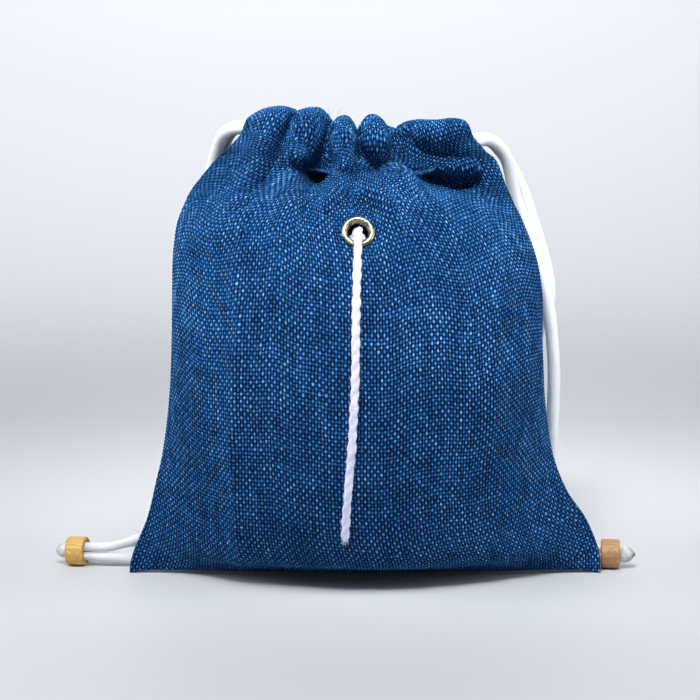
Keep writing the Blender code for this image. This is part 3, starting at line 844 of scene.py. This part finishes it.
cordRoutes = {
    "leftCord": [
        (-152.9, 16.7, 5.0), (-147.9, 15.6, 5.0), (-139.4, 13.8, 5.0), (-130.8, 12.2, 4.8),
        (-119.0, 15.5, 3.4), (-107.5, 21.5, 6.0), (-97.0, 29.0, 20.0), (-88.5, 35.5, 55.0),
        (-84.5, 39.0, 105.0), (-82.0, 36.0, 155.0), (-78.5, 27.0, 197.0), (-73.2, 15.0, 216.0),
        (-66.5, 1.5, 223.3), (-57.0, -8.5, 224.5), (-46.0, -11.0, 221.9), (-25.0, -11.0, 218.8),
        (-4.0, -11.0, 215.1), (20.0, -11.0, 216.1), (34.0, -11.0, 219.2), (42.0, -8.0, 221.8),
        (45.5, 0.0, 222.4), (42.0, 8.0, 221.8), (34.0, 11.0, 219.2), (20.0, 11.0, 216.1),
        (-4.0, 11.0, 215.1), (-25.0, 11.0, 218.8), (-46.0, 11.0, 221.9), (-58.0, 11.0, 223.4),
        (-67.2, 15.5, 222.0), (-72.5, 27.5, 206.0), (-73.0, 44.0, 155.0), (-74.0, 49.0, 105.0),
        (-77.0, 48.0, 55.0), (-85.0, 50.0, 20.0), (-94.0, 48.0, 7.5), (-103.0, 38.0, 9.0),
        (-111.5, 26.0, 11.8), (-121.0, 16.5, 11.9), (-130.8, 12.6, 10.3), (-139.4, 13.8, 9.9),
        (-147.9, 15.6, 9.9), (-152.9, 16.7, 9.9),
    ],
    "rightCord": [
        (130.4, 8.3, 5.0), (125.3, 9.0, 5.0), (116.7, 10.2, 5.0), (108.5, 12.0, 5.0),
        (102.5, 16.5, 4.6), (98.5, 21.0, 7.0), (96.5, 25.0, 16.0), (96.5, 27.5, 40.0),
        (97.0, 28.0, 75.0), (97.0, 28.0, 105.0), (93.2, 27.5, 136.5), (83.8, 26.0, 167.0),
        (76.0, 21.5, 189.0), (70.0, 12.0, 209.5), (60.5, 1.0, 218.2), (50.0, -7.0, 216.2),
        (40.0, -11.0, 213.8), (20.0, -11.0, 208.9), (-4.0, -11.0, 207.9), (-25.0, -11.0, 211.6),
        (-42.0, -11.0, 214.3), (-50.0, -8.0, 216.0), (-53.5, 0.0, 216.4), (-50.0, 8.0, 216.0),
        (-42.0, 11.0, 214.3), (-25.0, 11.0, 211.6), (-4.0, 11.0, 207.9), (20.0, 11.0, 208.9),
        (40.0, 11.0, 213.8), (51.0, 10.5, 217.0), (60.0, 13.0, 218.2), (67.5, 20.0, 213.0),
        (75.0, 27.0, 202.0), (83.5, 31.5, 183.0), (94.6, 33.5, 145.0), (93.0, 36.0, 126.0),
        (85.0, 41.0, 105.0), (81.0, 42.0, 75.0), (82.5, 41.0, 45.0), (90.0, 36.5, 18.0),
        (98.0, 26.0, 12.0), (103.0, 18.5, 10.6), (108.5, 12.0, 9.9), (116.7, 10.2, 9.9),
        (125.3, 9.0, 9.9), (130.4, 8.3, 9.9),
    ],
}
cordSpec = {"diameter": 6.5 * mm, "squeezed": 0.71, "squeezedLength": 29 * mm, "braids": 12}


# across the tube from 0 to 1, and along it in the unit of lengths
def tubeUv(mesh, sides, lengths, name):
    around = []
    for i in range(len(lengths) - 1):
        for k in range(sides):
            around += [
                (k / sides, lengths[i]), ((k + 1) / sides, lengths[i]),
                ((k + 1) / sides, lengths[i + 1]), (k / sides, lengths[i + 1]),
            ]
    around += [(0.0, lengths[0])] * sides + [(0.0, lengths[-1])] * sides
    layer = mesh.uv_layers.new(name=name)
    layer.uv.foreach_set("vector", np.array(around, np.float32).ravel())


def braidMaterial():
    n = Finish("whiteBraid")
    turn, along = n.mapped("alongCord")
    around = n.times(turn, float(cordSpec["braids"]))
    run = n.times(along, cordSpec["braids"] / math.pi * 0.62)
    a, b = n.plus(around, run), n.minus(around, run)
    inA = n.minus(n.maths("FRACT", a), 0.5)
    inB = n.minus(n.maths("FRACT", b), 0.5)
    parity = n.maths("FLOORED_MODULO", n.plus(n.maths("FLOOR", a), n.maths("FLOOR", b)), 2.0)
    across = n.mix(n.maths("GREATER_THAN", parity, 0.5), inA, inB, "FLOAT")
    other = n.mix(n.maths("GREATER_THAN", parity, 0.5), inB, inA, "FLOAT")
    ridge = n.minus(1.0, n.maths("POWER", n.times(n.maths("ABSOLUTE", across), 2.0), 2.0))
    tuck = n.minus(1.0, n.maths("POWER", n.times(n.maths("ABSOLUTE", other), 2.0), 4.0))
    plait = n.times(ridge, tuck)
    strands = n.noise(n.combine(n.times(a, 9.0), n.times(b, 9.0), 2.0), 1.0, 2.0, 0.6)
    fluff = n.noise(n.combine(n.times(turn, 30.0), n.times(along, 2.0), 6.0), 1.0, 3.0, 0.6)
    soil = n.noise(n.combine(turn, n.times(along, 0.35), 3.0), 1.0, 2.0, 0.5)
    # the plait's raised strands are painted lighter and its tucks darker, as painted shade between the
    # strands; strand noise and soil patches add tone
    tone = n.plus(n.times(plait, 0.35), n.times(strands, 0.35))
    tone = n.plus(tone, n.times(soil, 0.30))
    colour = n.ramp(tone, [
        (0.05, (0.50, 0.53, 0.57)),
        (0.35, (0.66, 0.69, 0.72)),
        (0.75, (0.79, 0.81, 0.83)),
        (1.0, (0.86, 0.87, 0.88)),
    ])
    surface = n.plus(plait, n.times(n.plus(strands, fluff), 0.18))
    return n.done(colour, n.bump(surface, 0.14 * mm, 0.6), {
        "Roughness": 0.55,
        "Sheen Weight": 0.2,
        "Subsurface Weight": 0.08,
        "Subsurface Radius": (0.002, 0.002, 0.002),
        "Subsurface Scale": 0.6,
    })


whiteBraid = braidMaterial()


def makeCord(name, node, material):
    path, length = evenPath(splineThrough(np.array(cordRoutes[name]) * mm, 16), 1.0 * mm)
    radius = cordSpec["diameter"] / 2
    travelled = np.linspace(0.0, length, len(path))
    toEnd = np.minimum(travelled, length - travelled)
    squeezed, braids = cordSpec["squeezed"], cordSpec["braids"]
    swell = squeezed + (1 - squeezed) * smoothStep((toEnd - cordSpec["squeezedLength"]) / 0.012)

    def radiusAt(angle, ring):
        run = travelled[ring] / cordSpec["diameter"] * 0.62 * 2
        plait = np.sin(braids * angle / 2 + run * braids / 2)
        plait = plait * np.sin(braids * angle / 2 - run * braids / 2)
        uneven = 1 + 0.012 * np.sin(travelled[ring] * 410) + 0.015 * np.sin(travelled[ring] * 173 + angle)
        return radius * swell[ring] * uneven * (1 + 0.018 * np.abs(plait) - 0.009)

    sides = 24
    points, faces = tubeMesh(path, sides, radiusAt)
    cord = linkMesh(name, points, faces, material, "pouch", node)
    tubeUv(cord.data, sides, travelled / cordSpec["diameter"], "alongCord")
    return cord, path, length


beads = {
    "left": {"centre": (-147.9, 15.6, 7.5), "yaw": 168.0},
    "right": {"centre": (125.3, 9.0, 7.5), "yaw": -8.0},
    "radius": 7.4,
    "bore": 5.0,
    "length": 9.6,
    "chamfer": 1.0,
}
woods = {
    "left": {
        "slot": "bead_wood_pale",
        "tones": [(0.44, 0.245, 0.065), (0.60, 0.375, 0.125), (0.72, 0.50, 0.215)],
    },
    "right": {
        "slot": "bead_wood_brown",
        "tones": [(0.27, 0.140, 0.062), (0.42, 0.235, 0.110), (0.54, 0.335, 0.170)],
    },
}


# turns (radius, height) points about Z; closed joins the last to the first
def lathe(profile, steps, closed, wobble=None):
    angles = np.arange(steps) * 2 * math.pi / steps
    points, faces = [], []
    for radius, height in profile:
        for angle in angles:
            r, h = radius, height
            if wobble:
                r, h = wobble(radius, height, angle)
            points.append((r * math.cos(angle), r * math.sin(angle), h))
    count = len(profile)
    for i in range(count if closed else count - 1):
        j = (i + 1) % count
        for k in range(steps):
            n = (k + 1) % steps
            faces.append((i * steps + k, i * steps + n, j * steps + n, j * steps + k))
    if not closed:
        faces.append(tuple(range(steps))[::-1])
        faces.append(tuple((count - 1) * steps + k for k in range(steps)))
    return points, faces


def woodMaterial(side):
    n = Finish(side + "BeadWood")
    place = n.place()
    stretch = n.add("ShaderNodeMapping")
    n.put(stretch, "Scale", (700.0, 700.0, 60.0))
    n.put(stretch, "Vector", place)
    grain = n.noise(stretch.outputs[0], 1.0, 4.0, 0.6, 0.4)
    rings = n.add("ShaderNodeTexWave", wave_type="BANDS", bands_direction="X")
    for socket, value in (("Vector", place), ("Scale", 260.0), ("Distortion", 5.0), ("Detail", 3.0),
                          ("Detail Scale", 1.2)):
        n.put(rings, socket, value)
    pores = n.noise(place, 2600.0, 2.0, 0.7)
    tone = n.plus(n.times(grain, 0.5), n.times(rings.outputs["Fac"], 0.28))
    tone = n.plus(tone, n.times(pores, 0.22))
    colour = n.ramp(tone, list(zip((0.20, 0.50, 0.80), woods[side]["tones"])))
    return n.done(colour, n.bump(tone, 0.10 * mm, 0.6), {"Roughness": 0.52})


# where a bead and its tip stand, and the way their cord runs
def beadStand(side):
    yaw = math.radians(beads[side]["yaw"])
    return beads[side]["centre"], (math.cos(yaw), math.sin(yaw), 0.0)


def makeBead(side):
    half, radius, bore, chamfer = beads["length"] / 2, beads["radius"], beads["bore"], beads["chamfer"]
    profile = [(bore, -half + 0.5), (bore + 0.15, -half + 0.15), (bore + 0.5, -half)]
    for step in range(7):
        angle = math.radians(-90 + 15 * step)
        profile.append((radius - chamfer * (1 - math.cos(angle)), -half + chamfer * (1 + math.sin(angle))))
    for step in range(1, 6):
        share = -1 + step / 3.0
        profile.append((radius + 0.06 * (1 - share * share), share * (half - chamfer)))
    for step in range(7):
        angle = math.radians(15 * step)
        profile.append((radius - chamfer * (1 - math.cos(angle)), half - chamfer * (1 - math.sin(angle))))
    profile += [(bore + 0.5, half), (bore + 0.15, half - 0.15), (bore, half - 0.5)]
    for step in range(1, 6):
        profile.append((bore, (half - 0.5) * (1 - step / 3.0)))
    points, faces = lathe([(r * mm, z * mm) for r, z in profile[::-1]], 72, True)
    return linkMesh(side + "BeadTurned", points, faces, woodMaterial(side), side + "_bead_body",
                    side + "_bead", beadStand(side))


def meltedMaterial():
    n = Finish("meltedCord")
    place = n.place()
    split = n.add("ShaderNodeSeparateXYZ")
    n.put(split, 0, place)
    cloudy = n.noise(place, 520.0, 4.0, 0.6, 1.0)
    streak = n.noise(place, 1500.0, 3.0, 0.7)
    toEnd = n.maths("DIVIDE", n.minus(split.outputs[2], 6.4 * mm), 7.5 * mm)
    burnt = n.plus(toEnd, n.times(n.minus(cloudy, 0.5), 0.55))
    colour = n.ramp(burnt, [
        (0.0, (0.70, 0.71, 0.72)),
        (0.50, (0.56, 0.57, 0.58)),
        (0.72, (0.30, 0.29, 0.28)),
        (0.84, (0.045, 0.036, 0.030)),
        (1.0, (0.010, 0.008, 0.007)),
    ])
    colour = n.mix(n.times(streak, 0.35), colour, (0.80, 0.81, 0.83, 1.0), blend="OVERLAY")
    relief = n.bump(n.plus(cloudy, streak), 0.35 * mm, 0.8)
    return n.done(colour, relief, {"Roughness": 0.28, "Transmission Weight": 0.25, "IOR": 1.5})


meltedCord = meltedMaterial()
tips = {
    "left": {"length": 5.8, "radius": 4.0, "power": 0.55},  # blunt
    "right": {"length": 7.4, "radius": 4.7, "power": 1.35},  # drawn to a point
}


def makeTip(side):
    start = beads["length"] / 2 + 0.4
    length, radius, power = tips[side]["length"], tips[side]["radius"], tips[side]["power"]
    profile = [
        (0.6, start),
        (radius * 0.55, start),
        (radius * 0.86, start + 0.05),
        (radius * 0.93, start + 0.5),
    ]
    for step in range(15):
        angle = math.radians(6 * step)
        profile.append((radius * math.cos(angle) ** power, start + 1.4 + (length - 1.4) * math.sin(angle)))
    profile.append((0.25, start + length))

    def wobble(r, h, angle):
        share = (h - start * mm) / (length * mm)
        lumps = math.sin(2 * angle + 9 * share) * 0.05 + math.sin(5 * angle - 14 * share) * 0.025
        flat = 1 - 0.10 * abs(math.sin(angle)) * share
        return r * (1 - 0.03 + lumps * 0.8) * flat, h + 0.12 * mm * math.sin(3 * angle) * share

    points, faces = lathe([(r * mm, z * mm) for r, z in profile], 40, False, wobble)
    return linkMesh(side + "MeltedTip", points, faces, meltedCord, "pouch",
                    side + "_cord_tip", beadStand(side))


for side in ("left", "right"):
    bead, tip = makeBead(side), makeTip(side)
    cord, path, length = makeCord(side + "Cord", side + "_cord", whiteBraid)
print("pouch: cords and beads made")


def brassMaterial():
    n = Finish("antiqueBrass")
    place = n.place()
    tarnish = n.noise(place, 420.0, 4.0, 0.6, 0.6)
    scratch = n.noise(place, 2600.0, 2.0, 0.6)
    tone = n.plus(n.times(tarnish, 0.75), n.times(scratch, 0.25))
    colour = n.ramp(tone, [
        (0.30, (0.090, 0.082, 0.052)),
        (0.50, (0.330, 0.305, 0.200)),
        (0.70, (0.680, 0.640, 0.470)),
    ])
    rough = n.add("ShaderNodeMapRange")
    for number, value in ((0, tone), (3, 0.42), (4, 0.22)):
        n.put(rough, number, value)
    return n.done(colour, n.bump(tone, 0.05 * mm, 0.5), {"Metallic": 1.0, "Roughness": rough.outputs[0]})


def makeRing(name, node, profile, material):
    points, faces = lathe([(r * mm, z * mm) for r, z in profile], 96, True)
    stand = eyeletSpot["centre"], eyeletSpot["outward"]
    linkMesh(name, points, faces, material, "pouch", node, stand)


antiqueBrass = brassMaterial()
flange = [(5.0, -1.2), (5.6, -1.2), (5.6, 1.9), (7.5, 1.75), (7.85, 1.75)]
for step in range(13):
    angle = math.radians(-30 + 17.5 * step)
    flange.append((6.65 + 1.35 * math.cos(angle), 2.05 + 1.05 * math.sin(angle)))
flange += [(5.05, 1.6), (5.0, 0.4)]
makeRing("brassEyelet", "eyelet", flange[::-1], antiqueBrass)
makeRing("brassWasher", "eyelet_washer",
         [(5.9, -0.3), (5.9, -0.9), (6.4, -1.1), (7.2, -1.1), (7.7, -0.9), (7.7, -0.3)][::-1], antiqueBrass)
print("pouch: eyelet made")

yarn = {
    "plyRadius": 1.62,
    "plyOffset": 0.46,
    "pitch": 12.5,  # length of one full turn of the two plies
    "knotPly": 1.45,
    "knotSize": 1.05,
    "hairs": 4600,
    "spacing": 0.42,
    "declared": 4.6,
    "hairRadius": 0.040,
    "hairLength": 2.1,
    "endHairs": 70,
}
stringRoute = [
    (-4.7, -32.3, 170.6), (-4.2, -37.5, 173.5), (-3.9, -41.8, 175.6), (-3.8, -45.4, 176.4),
    (-3.9, -48.4, 173.6), (-4.0, -50.6, 168.8), (-4.3, -53.2, 161.0), (-4.6, -57.1, 150.0),
    (-4.9, -60.2, 139.0), (-5.1, -62.9, 124.0), (-5.3, -64.2, 108.0), (-6.0, -64.7, 92.0),
    (-6.8, -64.5, 77.0), (-8.0, -63.4, 62.0), (-9.0, -61.8, 50.0), (-9.7, -59.5, 39.0),
    (-10.1, -56.8, 29.0),
]


def yarnMaterial():
    n = Finish("whiteYarn")
    place = n.place()
    fibre = n.noise(place, 1900.0, 3.0, 0.7)
    cloudy = n.noise(place, 300.0, 3.0, 0.6)
    tone = n.plus(n.times(fibre, 0.6), n.times(cloudy, 0.4))
    # the yarn is white; its darker lilac tones, spread by fibre and cloud noise, are painted shade
    colour = n.ramp(tone, [
        (0.25, (0.36, 0.37, 0.58)),
        (0.50, (0.62, 0.63, 0.82)),
        (0.75, (0.88, 0.88, 0.96)),
    ])
    return n.done(colour, n.bump(tone, 0.5 * mm, 0.9), {
        "Roughness": 0.85,
        "Sheen Weight": 0.5,
        "Subsurface Weight": 0.15,
        "Subsurface Radius": (0.002, 0.002, 0.002),
        "Subsurface Scale": 0.5,
    })


# thin tapering fibres, each given as a list of points
def hairMesh(strands, radius):
    points, faces, sides = [], [], 3
    for strand in strands:
        strand = np.array(strand)
        tangents, across, up = frameAlong(strand)
        start = len(points)
        for i, place in enumerate(strand):
            size = radius * (1.0 - 0.7 * i / (len(strand) - 1))
            for k in range(sides):
                angle = 2 * math.pi * k / sides
                points.append(place + size * (math.cos(angle) * across[i] + math.sin(angle) * up[i]))
        for i in range(len(strand) - 1):
            for k in range(sides):
                n = (k + 1) % sides
                a = start + i * sides
                faces.append((a + k, a + n, a + sides + n, a + sides + k))
        faces.append(tuple(start + k for k in range(sides))[::-1])
        faces.append(tuple(start + (len(strand) - 1) * sides + k for k in range(sides)))
    return points, faces


def makeString():
    path, length = evenPath(splineThrough(np.array(stringRoute) * mm, 24), yarn["spacing"] * mm)
    travelled = np.linspace(0.0, length, len(path)) / mm
    total = length / mm
    spread = yarn["plyOffset"] * (1 + 0.35 * np.exp(-((travelled - 15.0) / 5.0) ** 2))
    thick = yarn["plyRadius"] * (1 + 0.05 * np.sin(travelled * 0.9) + 0.06 * np.sin(travelled * 0.37 + 1))
    ending = np.clip((total - travelled) / 2.0, 0.0, 1.0) ** 0.5 * 0.55 + 0.45
    twist = 2 * math.pi * travelled / yarn["pitch"]

    def radiusAt(angle, ring):
        turn = angle - twist[ring]
        off, ply = spread[ring], np.maximum(thick[ring], spread[ring] * 1.06)
        plain = off * np.abs(np.cos(turn)) + np.sqrt(np.maximum(ply**2 - (off * np.sin(turn)) ** 2, 0.0))
        run = travelled[ring]
        fuzz = 1 + 0.05 * np.sin(angle * 7 + run * 2.3) * np.sin(run * 3.1 + angle * 3)
        return plain * fuzz * ending[ring] * mm

    points, faces = tubeMesh(path, 28, radiusAt)
    whiteYarn = yarnMaterial()
    string = linkMesh("pullYarn", points, faces, whiteYarn, "pouch", "pull_string")

    tangents, across, up = frameAlong(path)
    # the stopper knot inside the eyelet
    t = np.linspace(0.05, 2 * math.pi - 0.05, 120)[:, None]
    place = path[int(4.5 / yarn["spacing"])]
    loop = yarn["knotSize"] * mm * (
        (np.sin(t) + 2 * np.sin(2 * t)) * across[10] + (np.cos(t) - 2 * np.cos(2 * t)) * up[10]
        - np.sin(3 * t) * tangents[10]
    )
    ply = yarn["knotPly"] * mm * np.ones((120, 16))
    points, faces = tubeMesh(place + loop, 16, lambda angle, ring: ply)
    knot = linkMesh("pullYarnKnot", points, faces, whiteYarn, "pouch")
    strands = []
    for _ in range(yarn["hairs"]):
        i = numberOf.randrange(int(len(path) * 0.07), len(path) - 2)
        angle = numberOf.uniform(0, 2 * math.pi)
        out = math.cos(angle) * across[i] + math.sin(angle) * up[i]
        around = np.cross(tangents[i], out)
        reach = radiusAt(np.array([[angle]]), np.array([[i]]))[0, 0] * 0.85
        way = tangents[i] * numberOf.uniform(-1.0, 1.0) + around * numberOf.uniform(-0.8, 0.8)
        rise = numberOf.uniform(0.4, 1.0)
        size = numberOf.uniform(0.4, 1.0) ** 2 * yarn["hairLength"] * mm
        curl = numberOf.uniform(-0.5, 0.5)
        strand = []
        for step in range(5):
            t = step / 4
            strand.append(path[i] + out * (reach + size * rise * (t - 0.35 * t * t)) + way * size * t
                          + around * size * curl * t * t)
        strands.append(strand)
    end = path[-1]
    for _ in range(yarn["endHairs"]):
        away = Vector((numberOf.uniform(-1, 1), numberOf.uniform(-1, 1), numberOf.uniform(-1.2, 0.1)))
        start = end + np.array(away) * 1.0 * mm
        away = np.array(away.normalized())
        strands.append([start + away * numberOf.uniform(0.3, 0.6) * mm * k for k in range(4)])
    points, faces = hairMesh(strands, yarn["hairRadius"] * mm)
    fuzz = linkMesh("pullYarnFuzz", points, faces, whiteYarn, "pouch")


makeString()
print("pouch: pull string made")

threadSpec = {"radius": 0.36, "stitch": 3.2, "gap": 1.5, "lift": -0.30, "spacing": 0.4, "sink": 0.34}


def threadMaterial():
    n = Finish("navyThread")
    twist = n.noise(n.place(), 1800.0, 2.0, 0.6)
    colour = n.ramp(twist, [(0.3, (0.004, 0.020, 0.060)), (0.7, (0.020, 0.080, 0.190))])
    return n.done(colour, n.bump(twist, 0.1 * mm, 0.6), {"Roughness": 0.7})


navyThread = threadMaterial()


# short stitches along a line of points, each bowed a little out of the cloth
def makeStitches(name, node, line, outward):
    path = evenPath(np.array(line), threadSpec["spacing"] * mm)[0]
    outward = np.asarray(outward, float)
    perStitch = int((threadSpec["stitch"] + threadSpec["gap"]) / threadSpec["spacing"])
    seen = int(threadSpec["stitch"] / threadSpec["spacing"])
    points, faces = [], []
    for start in range(0, len(path) - seen, perStitch):
        run = path[start:start + seen + 1].copy()
        bow = np.sin(np.linspace(0, math.pi, len(run)))
        run += outward * ((bow * 1.3 - 0.6) * threadSpec["lift"] * mm)[:, None]
        width = threadSpec["radius"] * mm * np.ones((len(run), 6))
        more, sides = tubeMesh(run, 6, lambda angle, ring: width)
        faces += [tuple(v + len(points) for v in f) for f in sides]
        points += more.tolist()
    linkMesh(name, points, faces, navyThread, "pouch", node)


def faceLine(face, row, inward):
    return face[row, 3:-3] + np.array((0.0, inward * threadSpec["sink"] * mm, 0.0))


# the row of the cloth at the foot of the hem
def footRow(face):
    middle = face[:, face.shape[1] // 2, 2]
    return int(np.argmax(middle > 0.2015))


makeStitches("frontHemStitches", "front_hem_thread", faceLine(frontFace, footRow(frontFace), 1), (0, -1, 0))
makeStitches("backHemStitches", "back_hem_thread", faceLine(backFace, footRow(backFace), -1), (0, 1, 0))
for side, column, inset in (("left", 2, 4.0), ("right", 3, -4.0)):
    edge = [(row[column] + inset * mm, 0.0, row[1]) for row in bodyRows[5:]]
    makeStitches(side + "SideStitches", side + "_side_thread", splineThrough(np.array(edge), 12), (0, 0, 0))
makeStitches("baseStitches", "base_thread", [(-0.095, 0.0, 0.0026), (0.095, 0.0, 0.0026)], (0, 0, 0))

# fibres that have worked loose: where they start, where they end, and how they bow, all in mm
looseFibres = [
    ((-70.0, -12.0, 212.5), (-77.5, -14.0, 216.5), (-1.0, 0.0, 2.5)),
    ((-71.0, -10.0, 211.0), (-75.0, -13.0, 221.0), (2.0, 0.0, 1.0)),
    ((-17.5, -14.0, 229.0), (-13.5, -18.0, 236.0), (-2.5, 0.0, 1.5)),
    ((-15.0, -14.0, 228.0), (-9.5, -15.0, 233.5), (0.5, 0.0, 3.0)),
    ((-18.5, -13.0, 230.0), (-16.0, -15.0, 237.0), (2.0, 0.0, 0.5)),
    ((89.0, -4.0, 122.0), (90.5, -6.0, 128.0), (4.0, 0.0, 0.5)),
    ((-113.0, -8.0, 20.0), (-117.0, -12.0, 24.0), (0.0, 0.0, 2.0)),
]
looseSpec = {
    "perFace": 520,
    "radius": 0.055,
    "tones": [(0.35, (0.015, 0.08, 0.22)), (0.55, (0.06, 0.18, 0.38)), (0.72, (0.42, 0.40, 0.34))],
}


def makeLooseFibres():
    strands = []
    for start, end, bow in looseFibres:
        a, b, lean = (np.array(value) * mm for value in (start, end, bow))
        strands.append([a + (b - a) * t + lean * math.sin(math.pi * t) for t in np.linspace(0, 1, 9)])
    for face in (frontFace, backFace):
        normal = gridNormals(face) * (1 if face is frontFace else -1)
        for _ in range(looseSpec["perFace"]):
            i, k = numberOf.randrange(4, len(face) - 40), numberOf.randrange(4, face.shape[1] - 4)
            out = normal[i, k]
            way = np.array([numberOf.uniform(-1, 1), numberOf.uniform(-0.3, 0.3), numberOf.uniform(-1, 1)])
            way -= out * way.dot(out)
            size = numberOf.uniform(0.8, 3.0) * mm
            lift = numberOf.uniform(0.10, 0.45)
            curl = np.cross(out, way) * numberOf.uniform(-0.6, 0.6)
            base = face[i, k] - out * 0.15 * mm
            strands.append([
                base + size * (way * t + out * lift * (t - 0.5 * t * t) + curl * t * t)
                for t in np.linspace(0, 1, 5)
            ])
    points, faces = hairMesh(strands, looseSpec["radius"] * mm)
    n = Finish("looseJute")
    tone = n.noise(n.place(), 220.0, 2.0)
    colour = n.ramp(tone, looseSpec["tones"])
    linkMesh("looseFibres", points, faces, n.done(colour, None, {"Roughness": 0.7}), "pouch")


makeLooseFibres()
print("pouch: stitches and loose fibres made")
